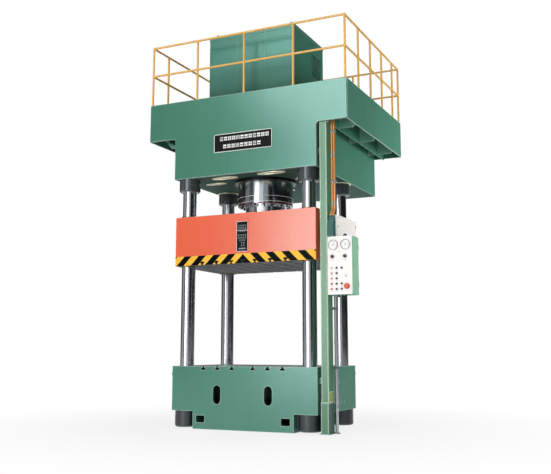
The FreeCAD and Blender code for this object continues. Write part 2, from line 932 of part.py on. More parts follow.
def pressure_pipe(x):
    """A pipe that rises from its gland, steps back and runs up beside the post."""
    y0 = junction_middle()
    y1 = pipe_y
    shift = y1 - y0
    radius = pipe_bend_radius
    turn = math.acos(1 - shift / (2 * radius))
    low = gland_top_z()
    half_rise = radius * math.sin(turn)
    p0 = Vector(x, y0, low)
    p1 = Vector(x, y0 + radius * (1 - math.cos(turn / 2)), low + radius * math.sin(turn / 2))
    p2 = Vector(x, y0 + shift / 2, low + half_rise)
    p3 = Vector(x, y1 - radius * (1 - math.cos(turn / 2)), low + 2 * half_rise - radius * math.sin(turn / 2))
    p4 = Vector(x, y1, low + 2 * half_rise)
    p5 = Vector(x, y1, deck_bottom)
    first = Part.Arc(p0, p1, p2).toShape()
    second = Part.Arc(p2, p3, p4).toShape()
    path = Part.Wire([first, second, Part.makeLine(p4, p5)])
    circle = Part.Wire(Part.makeCircle(pipe_radius, p0, Z_AXIS))
    return path.makePipeShell([circle], True, False)


def pipe_gland():
    """The block and union nuts on top of the junction box, which the pipes leave."""
    y = junction_middle()
    z = box_top + junction_height
    margin = pipe_radius + gland_block_margin
    xs = pipe_xs()
    base = block(xs[0] - margin, min(xs[-1] + margin, post_right + junction_width), y - gland_block_depth / 2,
                 y + gland_block_depth / 2, z, z + gland_block_height)
    hex_radius = pipe_pitch / 2 - gland_nut_gap
    nuts = []
    for x in xs:
        corners = [(x + hex_radius * math.cos(math.pi / 3 * k),
                    y + hex_radius * math.sin(math.pi / 3 * k), z + gland_block_height)
                   for k in range(6)]
        nuts.append(extruded(corners, Vector(0, 0, gland_nut_height)))
    return fuse_all([base] + nuts)


def junction_box():
    x0 = post_right
    y0 = junction_front()
    shape = block(x0, x0 + junction_width, y0, y0 + junction_depth, box_top, box_top + junction_height)
    return shape.makeFillet(box_round, edges_along(shape, Z_AXIS))


def conduit():
    return tube(conduit_radius, conduit_wall, box_bottom + conduit_entry, (conduit_x, conduit_y, 0))


def clamps():
    """Saddle blocks from the post's side round the pipes and round the conduit."""
    blocks = []
    for rise in pipe_clamp_rises:
        z = crown_bottom + rise
        xs = pipe_xs()
        body = block(post_right, xs[-1] + pipe_radius + clamp_margin, pipe_y - clamp_depth / 2,
                     pipe_y + clamp_depth / 2, z, z + clamp_height)
        blocks.append(cut_all(body, [rod(pipe_radius + clamp_gap, clamp_height + 2, (x, pipe_y, z - 1))
                                     for x in xs]))
    for z in conduit_clamp_rises:
        reach = conduit_radius + clamp_margin
        body = block(post_right, conduit_x + reach, post_rear - clamp_depth / 2, conduit_y + reach,
                     z, z + clamp_height)
        bore = rod(conduit_radius + clamp_gap, clamp_height + 2, (conduit_x, conduit_y, z - 1))
        blocks.append(body.cut(bore))
    return blocks


# ---- control box ---------------------------------------------------------------------------------

def control_box():
    """A sheet box, open in front, with a conduit entry in its floor."""
    shape = block(box_left, box_right, -box_front, box_rear, box_bottom, box_top)
    shape = shape.makeFillet(box_round,
                             [e for e in edges_along(shape, Z_AXIS) if e.Vertexes[0].Y > 1 - box_front])
    inside = block(box_left + box_wall, box_right - box_wall, -box_front - 1, box_rear - box_wall,
                   box_bottom + box_wall, box_top - box_wall)
    entry = rod(conduit_radius + bore_gap, box_wall + 2, (conduit_x, conduit_y, box_bottom - 1))
    return cut_all(shape, [inside, entry])


def button_places():
    """Name, column and row of each push button, counted from the top left."""
    return [("start", 1, 0), ("return", 2, 0), ("inch", 1, 1), ("half", 1, 2), ("lower", 1, 3),
            ("raise", 2, 3), ("halt", 0, 4), ("cushion_up", 1, 4), ("cushion_down", 2, 4)]


def control_point(column_number, row):
    return (box_left + control_first_x + control_pitch_x * column_number,
            box_bottom + control_top_z - control_pitch_z * row)


def gauge_points():
    return [(box_left + gauge_first_x + gauge_pitch * i, box_bottom + gauge_z) for i in range(2)]


def knob_points():
    return [(box_left + knob_first_x + knob_pitch * i, box_bottom + knob_z) for i in range(2)]


def control_panel():
    shape = block(box_left, box_right, panel_face, -box_front, box_bottom, box_top)
    rim = edges_on_plane(shape, Y_AXIS, panel_face)
    shape = shape.makeChamfer(panel_chamfer, rim)
    holes = []
    for _, column_number, row in button_places():
        x, z = control_point(column_number, row)
        holes.append(rod(button_stem + stem_gap, 2 * panel_plate, (x, panel_face - 1, z), Y_AXIS))
    stop = (box_left + stop_x, panel_face - 1, box_bottom + stop_z)
    holes.append(rod(stop_stem + stem_gap, 2 * panel_plate, stop, Y_AXIS))
    for x, z in gauge_points():
        holes.append(rod(gauge_can_radius + bore_gap, 2 * panel_plate, (x, panel_face - 1, z), Y_AXIS))
    for x, z in knob_points():
        holes.append(rod(knob_neck + stem_gap, 2 * panel_plate, (x, panel_face - 1, z), Y_AXIS))
    return cut_all(shape, holes)


def push_piece(x, z, radius, cap, travel, stem, stem_length):
    """A cap on a stem through the panel, with a collar behind that stops it coming out."""
    cap_back = panel_face - travel - 1
    shape = rod(radius, cap, (x, cap_back - cap, z), Y_AXIS)
    shape = shape.makeFillet(button_round, edges_on_plane(shape, Y_AXIS, cap_back - cap))
    shaft = rod(stem, stem_length, (x, cap_back - 1, z), Y_AXIS)
    collar = rod(stem + collar_step, collar_height, (x, small_gap - box_front, z), Y_AXIS)
    return fuse_all([shape, shaft, collar])


def push_button(column_number, row):
    x, z = control_point(column_number, row)
    return push_piece(x, z, button_radius, button_cap, button_travel, button_stem, button_stem_length)


def emergency_stop():
    x = box_left + stop_x
    z = box_bottom + stop_z
    return push_piece(x, z, stop_radius, stop_cap, stop_travel + stop_collar_height, stop_stem,
                      button_stem_length + stop_collar_height)


def button_bezels():
    """The fixed rings round the buttons, and the emergency stop's collar."""
    rings = []
    for _, column_number, row in button_places():
        x, z = control_point(column_number, row)
        start = (x, panel_face - bezel_height, z)
        outside = button_radius + bezel_width
        rings.append(ring(outside, button_radius + small_gap, bezel_height, start, Y_AXIS))
    start = (box_left + stop_x, panel_face - stop_collar_height, box_bottom + stop_z)
    rings.append(ring(stop_collar_radius, stop_stem + small_gap, stop_collar_height, start, Y_AXIS))
    return rings


def indicator_lamps():
    lamps = []
    places = [control_point(0, row) for row in range(4)]
    places.append((box_left + blank_lamp_x, box_bottom + blank_lamp_z))
    for x, z in places:
        front = panel_face - lamp_height
        lens = rod(lamp_radius, lamp_height, (x, front, z), Y_AXIS)
        lens = lens.makeFillet(lamp_round, edges_on_plane(lens, Y_AXIS, front))
        foot = rod(lamp_radius + bezel_width, lamp_foot_height, (x, panel_face - lamp_foot_height, z), Y_AXIS)
        lamps.append(fuse_all([lens, foot]))
    return lamps


def gauge_cases():
    cases = []
    for x, z in gauge_points():
        front = panel_face - gauge_rim
        rim = rod(gauge_radius, gauge_rim, (x, front, z), Y_AXIS)
        rim = rim.makeFillet(gauge_round, edges_on_plane(rim, Y_AXIS, front))
        can = rod(gauge_can_radius, gauge_can_depth, (x, panel_face, z), Y_AXIS)
        recess = rod(gauge_radius - gauge_lip, gauge_recess, (x, front, z), Y_AXIS)
        pin_hole = rod(needle_pin + stem_gap, gauge_recess, (x, front + gauge_recess - 1, z), Y_AXIS)
        cases.append(cut_all(fuse_all([rim, can]), [recess, pin_hole]))
    return cases


def gauge_glasses():
    glasses = []
    for x, z in gauge_points():
        start = (x, panel_face - gauge_rim + gauge_glass_inset, z)
        glasses.append(rod(gauge_radius - gauge_lip - bush_seat_gap, gauge_glass, start, Y_AXIS))
    return glasses


def gauge_needle(x, z):
    """A tapered needle on a hub and pin, pointing down to the left of its dial at rest."""
    dial_y = panel_face - gauge_rim + gauge_recess
    back = dial_y - needle_dial_gap
    outline = [(-needle_width / 2, 0), (0, needle_length), (needle_width / 2, 0),
               (needle_width, -needle_tail), (-needle_width, -needle_tail)]
    lean = math.radians(needle_rest_turn)
    points = []
    for across, along in outline:
        points.append((x + across * math.cos(lean) - along * math.sin(lean), back - needle_plate,
                       z + across * math.sin(lean) + along * math.cos(lean)))
    blade = extruded(points, Vector(0, needle_plate, 0))
    hub = rod(needle_hub / 2, 2 * needle_plate, (x, back - 2 * needle_plate, z), Y_AXIS)
    pin = rod(needle_pin, gauge_recess - needle_pin_gap, (x, back - needle_plate, z), Y_AXIS)
    return fuse_all([blade, hub, pin])


def regulator_knob(x, z):
    """A round knob with finger flats, on a neck through the panel."""
    front = panel_face - 1 - knob_height
    body = rod(knob_radius, knob_height, (x, front, z), Y_AXIS)
    body = body.makeFillet(knob_round, edges_on_plane(body, Y_AXIS, front))
    flute_circle = knob_radius + knob_flute_reach
    flutes = []
    for number in range(knob_flute_count):
        angle = 2 * math.pi * (number + 0.5) / knob_flute_count
        flutes.append(rod(knob_flute_radius, knob_height - knob_flute_stop,
                          (x + flute_circle * math.cos(angle), front - 1, z + flute_circle * math.sin(angle)),
                          Y_AXIS))
    neck = rod(knob_neck, knob_neck_length, (x, front + knob_height - 1, z), Y_AXIS)
    collar = rod(knob_neck + collar_step, collar_height, (x, small_gap - box_front, z), Y_AXIS)
    return fuse_all([cut_all(body, flutes), neck, collar])


def terminal_cabinet():
    """A long sheet cabinet on the control box, with a screwed cover on its outer side."""
    x0 = post_right + cabinet_gap
    x1 = x0 + cabinet_width
    y0 = terminal_front()
    y1 = y0 + cabinet_depth
    z1 = box_top + cabinet_height
    shell = block(x0, x1 - cabinet_wall, y0, y1, box_top, z1)
    inside = block(x0 + cabinet_wall, x1, y0 + cabinet_wall, y1 - cabinet_wall, box_top + cabinet_wall,
                   z1 - cabinet_wall)
    cover = block(x1 - cabinet_wall, x1, y0, y1, box_top, z1)
    cover = cover.makeChamfer(panel_chamfer, edges_on_plane(cover, X_AXIS, x1))
    return [shell.cut(inside), cover]


def signal_dome():
    x = box_right - dome_side_inset
    y = dome_front_inset - box_front
    foot = rod(dome_radius, dome_radius / 4, (x, y, box_top))
    centre = Vector(x, y, box_top + dome_radius / 4)
    ball = Part.makeSphere(dome_radius - dome_step, centre, Z_AXIS, 0, 90, 360)
    return fuse_all([foot, ball])


# ---- writing the pieces --------------------------------------------------------------------------

os.makedirs("parts", exist_ok=True)

save("bed_frame", bed_frame())
save("bed_table", bed_table())
for name, (cx, cy) in zip(("front_left", "front_right", "rear_left", "rear_right"), column_places):
    save("column_" + name, column(cx, cy))
save("column_nuts_lower", *lower_nuts())
save("column_nuts_inner", *inner_nuts())
save("column_nuts_top", *top_nuts())
save("crown_body", *crown_body())
save("crown_front_plate", crown_front_plate())
save("platform_skirts", *platform_skirts())
save("platform_ribs", *platform_ribs())
save("platform_stringers", *platform_stringers())
save("platform_deck", platform_deck())
save("railing_front", *railing_across(rail_corners()[1]))
save("railing_rear", *railing_across(rail_corners()[2]))
save("railing_right", *railing_right())
save("railing_left", *railing_left())
save("main_cylinder", main_cylinder())
save("cylinder_rings", cylinder_ring_nut(), gland_ring(), *gland_screws())
save("ram", ram())
save("ram_bolts", *ram_screws())
save("slider_frame", slider_frame())
save("slider_platen", slider_platen())
save("guide_bushes", *guide_bushes())
save("name_plate", front_sign(0, crown_bottom + name_plate_rise, name_plate_width, name_plate_height,
                              -crown_front))
save("data_plate", front_sign(data_plate_x, slider_bottom + data_plate_rise, data_plate_width,
                              data_plate_height, -slider_depth / 2))
save("machinery_housing", *machinery_housing())
save("pump_unit", *pump_unit())
save("filling_valve", filling_valve())
save("duct_post", duct_post(), duct_cover())
save("duct_base", duct_base())
save("duct_brackets", *duct_brackets())
save("pressure_pipes", *[pressure_pipe(x) for x in pipe_xs()])
save("clamps", *clamps())
save("conduit", conduit())
save("junction_box", junction_box(), pipe_gland())
save("terminal_cabinet", *terminal_cabinet())
save("signal_dome", signal_dome())
save("control_box", control_box())
save("control_panel", control_panel())
save("gauge_cases", *gauge_cases())
save("gauge_glasses", *gauge_glasses())
for side, (gx, gz) in zip(("left", "right"), gauge_points()):
    save("gauge_needle_" + side, gauge_needle(gx, gz))
for side, (kx, kz) in zip(("left", "right"), knob_points()):
    save("regulator_knob_" + side, regulator_knob(kx, kz))
save("indicator_lamps", *indicator_lamps())
save("button_bezels", *button_bezels())
for name, column_number, row_number in button_places():
    save("button_" + name, push_button(column_number, row_number))
save("emergency_stop", emergency_stop())
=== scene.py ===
import bpy
import bmesh
from itertools import product
from math import cos, pi, radians, sin, tan
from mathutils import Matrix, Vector


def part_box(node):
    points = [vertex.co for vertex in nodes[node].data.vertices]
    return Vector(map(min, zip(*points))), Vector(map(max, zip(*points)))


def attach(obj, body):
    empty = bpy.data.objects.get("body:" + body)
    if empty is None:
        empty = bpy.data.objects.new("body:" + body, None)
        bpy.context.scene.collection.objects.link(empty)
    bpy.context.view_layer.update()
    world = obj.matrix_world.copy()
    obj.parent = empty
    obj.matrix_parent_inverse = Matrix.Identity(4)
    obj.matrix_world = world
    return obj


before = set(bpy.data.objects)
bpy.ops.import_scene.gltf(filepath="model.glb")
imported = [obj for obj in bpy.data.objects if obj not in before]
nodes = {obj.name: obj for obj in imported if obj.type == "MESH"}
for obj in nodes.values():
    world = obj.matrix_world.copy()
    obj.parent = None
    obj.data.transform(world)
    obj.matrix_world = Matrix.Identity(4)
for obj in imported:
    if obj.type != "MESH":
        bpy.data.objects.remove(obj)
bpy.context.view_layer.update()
print("frame loaded:", len(nodes), "nodes")


# modelling helpers

axisTurns = {"X": (0, radians(90), 0), "Y": (radians(90), 0, 0), "Z": (0, 0, 0)}
wayTurns = {"front": (0, 0, 0), "right": (0, 0, radians(90)), "rear": (0, 0, radians(180)),
            "left": (0, 0, radians(-90)), "under": (radians(90), 0, 0), "over": (radians(-90), 0, 0)}
origin = (0, 0, 0)


def clearSelection():
    if bpy.context.object and bpy.context.object.mode != "OBJECT":
        bpy.ops.object.mode_set(mode="OBJECT")
    bpy.ops.object.select_all(action="DESELECT")


def pick(piece):
    clearSelection()
    piece.select_set(True)
    bpy.context.view_layer.objects.active = piece
    return piece


def putAt(piece, centre, turn=(0, 0, 0)):
    piece.location = centre
    piece.rotation_euler = turn
    return piece


def bakePlace(piece):    # the place goes into the mesh, the object stays at the origin
    pick(piece)
    bpy.ops.object.transform_apply(location=True, rotation=True, scale=True)
    return piece


def bevelEdges(piece, width, segments=2):
    if width:
        pick(piece)
        bpy.ops.object.modifier_add(type="BEVEL")
        bevel = piece.modifiers[-1]
        bevel.width = width
        bevel.segments = segments
        bevel.limit_method = "ANGLE"
        bevel.angle_limit = radians(40)
        bpy.ops.object.modifier_apply(modifier=bevel.name)
    return piece


def addBox(size, centre=origin, bevel=0.001, segments=2):
    clearSelection()
    bpy.ops.mesh.primitive_cube_add(size=1, location=centre)
    piece = bpy.context.object
    piece.scale = size
    return bevelEdges(bakePlace(piece), bevel, segments)


def addRound(radius, depth, centre=origin, axis="Z", sides=32, bevel=0.001, segments=2):
    clearSelection()
    bpy.ops.mesh.primitive_cylinder_add(vertices=sides, radius=radius, depth=depth, location=centre,
                                        rotation=axisTurns[axis])
    return bevelEdges(bakePlace(bpy.context.object), bevel, segments)


def addRing(radius, thickness, centre=origin, axis="Z", sides=32, rings=8):
    clearSelection()
    bpy.ops.mesh.primitive_torus_add(major_radius=radius, minor_radius=thickness, major_segments=sides,
                                     minor_segments=rings, location=centre, rotation=axisTurns[axis])
    return bakePlace(bpy.context.object)


def addRod(start, end, radius):    # a weld bead from point to point, its ends rounded
    first, run = Vector(start), Vector(end) - Vector(start)
    clearSelection()
    bpy.ops.mesh.primitive_cylinder_add(vertices=6, radius=radius, depth=run.length)
    piece = putAt(bpy.context.object, first + run / 2, run.to_track_quat("Z", "Y").to_euler())
    return bevelEdges(bakePlace(piece), radius * 0.45, 1)


def addFrame(width, height, rim, depth, centre, bevel=0.0008):    # a rim standing on a front face
    clearSelection()
    bpy.ops.mesh.primitive_plane_add(size=1, location=centre, rotation=axisTurns["Y"])
    piece = bpy.context.object
    piece.scale = (width, height, 1)
    bakePlace(piece)
    bpy.ops.object.mode_set(mode="EDIT")
    bpy.ops.mesh.select_mode(type="FACE")
    bpy.ops.mesh.select_all(action="SELECT")
    bpy.ops.mesh.inset(thickness=rim)
    bpy.ops.mesh.delete(type="FACE")
    bpy.ops.mesh.select_all(action="SELECT")
    bpy.ops.mesh.extrude_region_move(TRANSFORM_OT_translate={"value": (0, -depth, 0)})
    bpy.ops.mesh.select_all(action="SELECT")
    bpy.ops.mesh.normals_make_consistent(inside=False)
    bpy.ops.object.mode_set(mode="OBJECT")
    return bevelEdges(piece, bevel, 1)


def addCurb(width, depth, rim, height, centre, bevel):    # a level frame round a housing or a table
    return bakePlace(putAt(addFrame(width, depth, rim, height, origin, bevel), centre, axisTurns["Y"]))


def pickFaces(piece, way):    # edit mode, with the outermost faces that look one way picked
    pick(piece)
    bpy.ops.object.mode_set(mode="EDIT")
    bpy.ops.mesh.select_mode(type="FACE")
    bpy.ops.mesh.select_all(action="DESELECT")
    mesh = bmesh.from_edit_mesh(piece.data)
    look = Vector(way)
    top = max(face.calc_center_median().dot(look) for face in mesh.faces)
    for face in mesh.faces:
        if face.normal.dot(look) > 0.97 and face.calc_center_median().dot(look) > top - 0.0005:
            face.select = True
    mesh.select_flush(True)
    bmesh.update_edit_mesh(piece.data)


def sinkFace(piece, way, rim, depth):    # inset the outer face and push it in
    pickFaces(piece, way)
    bpy.ops.mesh.inset(thickness=rim, depth=0)
    bpy.ops.mesh.extrude_region_move(TRANSFORM_OT_translate={"value": Vector(way) * -depth})
    bpy.ops.object.mode_set(mode="OBJECT")
    return piece


def joinAll(parts):
    clearSelection()
    for part in parts:
        part.select_set(True)
    bpy.context.view_layer.objects.active = parts[0]
    if len(parts) > 1:
        bpy.ops.object.join()
    return bakePlace(bpy.context.object)


def spread(piece, points, turn=(0, 0, 0)):    # one modelled piece, copied to each point
    copies = []
    for point in points:
        twin = piece.copy()
        twin.data = piece.data.copy()
        bpy.context.collection.objects.link(twin)
        copies.append(putAt(twin, point, turn))
    bpy.data.objects.remove(piece)
    return joinAll(copies)


# fixings are modelled facing the operator and turned to the side that they sit on

# radius and height of each kind of head
screwSizes = {"namePlate": (0.006, 0.004), "dataPlate": (0.005, 0.004), "deck": (0.012, 0.004),
              "cover": (0.008, 0.006), "bush": (0.0065, 0.006), "bed": (0.012, 0.008), "duct": (0.007, 0.004),
              "panel": (0.0045, 0.003), "junction": (0.0042, 0.003)}
boltSizes = {"hatch": (0.012, 0.01), "duct": (0.007, 0.006), "clamp": (0.006, 0.005)}


def addSocketScrews(kind, points, way="front"):
    radius, height = screwSizes[kind]
    screw = addRound(radius, height, (0, -height / 2, 0), "Y", 16, radius * 0.15, 1)
    sinkFace(screw, (0, -1, 0), radius * 0.42, height * 0.5)
    return spread(screw, points, wayTurns[way])


def addHexBolts(kind, points, way="front"):
    radius, height = boltSizes[kind]
    head = addRound(radius, height, (0, -height / 2 - 0.003, 0), "Y", 6, radius * 0.12, 1)
    washer = addRound(radius * 1.35, 0.004, (0, -0.001, 0), "Y", 20, 0.0008, 1)
    return spread(joinAll([head, washer]), points, wayTurns[way])


def onOval(centre, reachX, reachY, count, first):    # points on a level circle or oval
    turns = [radians(first + 360 / count * number) for number in range(count)]
    return [(centre[0] + cos(turn) * reachX, centre[1] + sin(turn) * reachY, centre[2]) for turn in turns]


def onDial(centre, reach, turn):    # a point on an upright circle
    return centre[0] + cos(turn) * reach, centre[1], centre[2] + sin(turn) * reach


def addTick(size, centre, reach, turn):    # a small bar that points at the dial's centre
    return putAt(addBox(size, origin, 0.0001, 1), onDial(centre, reach, turn), (0, -turn, 0))


def fourWays(reachA, reachB):
    return list(product((-reachA, reachA), (-reachB, reachB)))


def inCorners(low, high, inset, front):    # points in the corners of a front face
    return product((low.x + inset, high.x - inset), [front], (low.z + inset, high.z - inset))


def boxOf(name):    # lowest corner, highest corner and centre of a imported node
    low, high = [Vector(corner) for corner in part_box(name)]
    return low, high, (low + high) / 2


def finishPiece(parts, name, material, body="press_frame", angle=35):
    piece = joinAll(parts) if isinstance(parts, list) else pick(parts)
    piece.name = name
    bpy.ops.object.shade_smooth_by_angle(angle=radians(angle))
    piece.data.materials.clear()
    piece.data.materials.append(material)
    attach(piece, body)


# shader helpers

class Wire:    # a socket in a shader tree: sums, products and comparisons of wires add Math nodes
    def __init__(self, socket):
        self.socket = socket
        self.tree = socket.id_data

    def __add__(self, other):
        return calc("ADD", self, other)

    def __sub__(self, other):
        return calc("SUBTRACT", self, other)

    def __rsub__(self, other):
        return calc("SUBTRACT", other, self)

    def __mul__(self, other):
        return calc("MULTIPLY", self, other)

    def __truediv__(self, other):
        return calc("DIVIDE", self, other)

    def __pow__(self, other):
        return calc("POWER", self, other)

    def __lt__(self, other):
        return calc("LESS_THAN", self, other)

    def __gt__(self, other):
        return calc("GREATER_THAN", self, other)

    def __abs__(self):
        return calc("ABSOLUTE", self)


def feed(socket, value):    # value is a wire, a number or a colour
    if isinstance(value, Wire):
        socket.id_data.links.new(value.socket, socket)
    elif socket.type == "RGBA":
        socket.default_value = value + (1,)
    else:
        socket.default_value = value


def feedAll(sockets, values):
    for label, value in values.items():
        feed(sockets[label], value)


def addNode(tree, kind, sockets=None, **settings):
    node = tree.nodes.new("ShaderNode" + kind)
    for key, value in settings.items():
        setattr(node, key, value)
    feedAll(node.inputs, sockets or {})
    return node


def treeOf(values):
    return next(value.tree for value in values if isinstance(value, Wire))


def calc(operation, *values):
    node = addNode(treeOf(values), "Math", dict(enumerate(values)), operation=operation)
    return Wire(node.outputs[0])


def clip(value):    # holds the last sum or product between 0 and 1
    value.socket.node.use_clamp = True
    return value


def larger(first, second):
    return calc("MAXIMUM", first, second)


def mixColour(factor, first, second):
    sockets = {0: factor, 6: first, 7: second}
    return Wire(addNode(treeOf(sockets.values()), "Mix", sockets, data_type="RGBA").outputs[2])


def mixValue(factor, first, second):
    sockets = {0: factor, 2: first, 3: second}
    return Wire(addNode(treeOf(sockets.values()), "Mix", sockets, data_type="FLOAT").outputs[0])


def noise(place, scale, detail=3.0, roughness=0.5, stretch=None):
    if stretch:
        place = Wire(addNode(place.tree, "Mapping", {"Scale": stretch, "Vector": place}).outputs["Vector"])
    sockets = {"Scale": scale, "Detail": detail, "Roughness": roughness, "Vector": place}
    return Wire(addNode(place.tree, "TexNoise", sockets).outputs["Fac"])


def span(value, low, high):    # 0 at low, 1 at high
    sockets = {"From Min": low, "From Max": high, "Value": value}
    return Wire(addNode(value.tree, "MapRange", sockets, clamp=True).outputs["Result"])


def objectPlace(tree):
    return Wire(addNode(tree, "TexCoord").outputs["Object"])


def split(vector):
    return [Wire(output) for output in addNode(vector.tree, "SeparateXYZ", {0: vector}).outputs]


def faceWay(tree):    # the surface's own direction
    return split(Wire(addNode(tree, "NewGeometry").outputs["Normal"]))


def plainRays(tree):    # rays from the camera, and those that metal and glass send on
    rays = addNode(tree, "LightPath").outputs
    kinds = ("Is Camera Ray", "Is Glossy Ray", "Is Transmission Ray")
    camera, glossy, through = [Wire(rays[kind]) for kind in kinds]
    return larger(camera, larger(glossy, through))


def addBump(shader, height, distance):
    bump = addNode(height.tree, "Bump", {"Distance": distance, "Height": height})
    feed(shader["Normal"], Wire(bump.outputs["Normal"]))


def newMaterial(name):
    material = bpy.data.materials.new(name)
    material.use_nodes = True
    tree = material.node_tree
    tree.nodes.clear()
    return material, tree, addNode(tree, "OutputMaterial").inputs["Surface"]


def newFinish(name):    # a material, its tree and the sockets of its shader
    material, tree, surface = newMaterial(name)
    shader = addNode(tree, "BsdfPrincipled")
    feed(surface, Wire(shader.outputs["BSDF"]))
    return material, tree, shader.inputs


def newGroup(name, inputs, outputs):
    group = bpy.data.node_groups.new(name, "ShaderNodeTree")
    for label, value in inputs.items():
        kind = "NodeSocketColor" if isinstance(value, tuple) else "NodeSocketFloat"
        socket = group.interface.new_socket(label, in_out="INPUT", socket_type=kind)
        socket.default_value = value + (1,) if isinstance(value, tuple) else value
    for label in outputs:
        kind = "NodeSocketColor" if label == "Colour" else "NodeSocketFloat"
        group.interface.new_socket(label, in_out="OUTPUT", socket_type=kind)
    source = group.nodes.new("NodeGroupInput").outputs
    return group, {label: Wire(source[label]) for label in inputs}, group.nodes.new("NodeGroupOutput").inputs


def useGroup(tree, name, values):    # takes from the values those that the group asks for
    node = addNode(tree, "Group", node_tree=bpy.data.node_groups[name])
    feedAll(node.inputs, {label: value for label, value in values.items() if label in node.inputs})
    return {output.name: Wire(output) for output in node.outputs}


def buildEdgeGroup():    # a painted highlight: a light line where two faces meet, broken by noise like worn paint
    group, given, out = newGroup("edgeHighlight", {"edgeRadius": 0.012, "edgeGain": 9.0}, ["Mask"])
    bevel = addNode(group, "Bevel", {"Radius": given["edgeRadius"]}, samples=6)
    flat = addNode(group, "NewGeometry")
    normals = {number: Wire(node.outputs["Normal"]) for number, node in enumerate((bevel, flat))}
    alike = Wire(addNode(group, "VectorMath", normals, operation="DOT_PRODUCT").outputs["Value"])
    line = clip((1.0 - alike) * given["edgeGain"])
    feed(out["Mask"], line * clip(noise(objectPlace(group), 9.0) * 0.7 + 0.45))


def buildEnamelGroup():    # sprayed enamel: broad tone, faint runs, painted edge highlights, painted shade on undersides, dust on ledges, orange peel
    group, given, out = newGroup(
        "enamel", {"paint": (0.1, 0.3, 0.2), "tone": (0.05, 0.2, 0.15), "edge": (0.3, 0.5, 0.4),
                   "toneAmount": 0.5, "edgeAmount": 0.5, "edgeRadius": 0.012, "gloss": 0.3, "coat": 0.5,
                   "undersideShade": 0.0},
        ["Colour", "Roughness", "Height", "Coat"])
    place = objectPlace(group)
    faceX, _, faceZ = faceWay(group)
    runs = noise(place, 5.0, 4.0, 0.6, stretch=(1, 1, 0.3))
    mottle = (span(noise(place, 0.8), 0.3, 0.7) * 0.6 + span(runs, 0.3, 0.7) * 0.3
              + span(noise(place, 60.0, 3.0, 0.6), 0.35, 0.65) * 0.1)
    toned = mixColour(clip(mottle * given["toneAmount"]), given["paint"], given["tone"])
    under = span(faceZ, -0.6, -0.95)
    # undersides are darkened as painted shade
    toned = mixColour(under * given["undersideShade"], toned, (0.012, 0.024, 0.024))
    edge = useGroup(group, "edgeHighlight", given)["Mask"]
    toned = mixColour(edge * given["edgeAmount"], toned, given["edge"])
    dust = span(faceZ, 0.7, 0.95) * (runs * 0.3 + 0.06)
    dull = larger(under, span(abs(faceX), 0.6, 0.9) * 0.75)    # undersides and side faces are matt
    feedAll(out, {"Colour": mixColour(dust, toned, (0.42, 0.42, 0.38)),
                  "Roughness": clip(given["gloss"] + runs * 0.1 + dull * 0.5 + dust * 0.6),
                  "Coat": (1.0 - dull) * (1.0 - dust) * given["coat"],
                  "Height": noise(place, 160.0, 2.0)})


def buildMachinedGroup():    # bare machined steel: cutter lines along Y, smudges of oil
    group, given, out = newGroup("machined", {"steel": (0.5, 0.51, 0.52), "shade": (0.3, 0.31, 0.32)},
                                 ["Colour", "Roughness", "Height"])
    place = objectPlace(group)
    lines = noise(place, 9.0, 4.0, 0.75, stretch=(22, 1.2, 22))
    smudge = noise(place, 2.6, 4.0, 0.6)
    bright = span(lines, 0.3, 0.7) * 0.55 + span(smudge, 0.35, 0.65) * 0.45
    feedAll(out, {"Colour": mixColour(bright, given["shade"], given["steel"]),
                  "Roughness": smudge * 0.22 + 0.2, "Height": lines})


def buildPolishGroup():    # turned and polished steel: fine rings under a thin film of grease
    group, given, out = newGroup("polish", {"steel": (0.7, 0.72, 0.74), "film": (0.45, 0.48, 0.5),
                                            "gloss": 0.08}, ["Colour", "Roughness", "Height"])
    place = objectPlace(group)
    fine = noise(place, 1.0, 3.0, 0.7, stretch=(3, 3, 240))
    wet = span(noise(place, 3.0, 4.0, 0.6, stretch=(1.5, 1.5, 0.35)), 0.42, 0.72)
    feedAll(out, {"Colour": mixColour(clip(wet * 0.7 + fine * 0.2), given["steel"], given["film"]),
                  "Roughness": given["gloss"] + wet * 0.07, "Height": fine})


buildEdgeGroup()
buildEnamelGroup()
buildMachinedGroup()
buildPolishGroup()


# camera

# place and farthest are in metres, turn and tilt in degrees, focal and width in pixels, sensor in millimetres
photoView = {"place": (5.7274, -11.7765, 1.1742), "turn": 25.23, "tilt": 9.24, "focal": 814.03,
             "width": 551, "sensor": 36, "shift": -0.0344, "farthest": 400}


def addToScene(name, data):
    thing = bpy.data.objects.new(name, data)
    bpy.context.scene.collection.objects.link(thing)
    return thing


def buildCamera():
    data = bpy.data.cameras.new("photoCamera")
    data.sensor_width = photoView["sensor"]
    data.lens = photoView["focal"] / photoView["width"] * photoView["sensor"]
    data.shift_y = photoView["shift"]
    data.clip_end = photoView["farthest"]
    turn = (radians(90 + photoView["tilt"]), 0, radians(photoView["turn"]))
    bpy.context.scene.camera = putAt(addToScene("photoCamera", data), photoView["place"], turn)


# floor and light

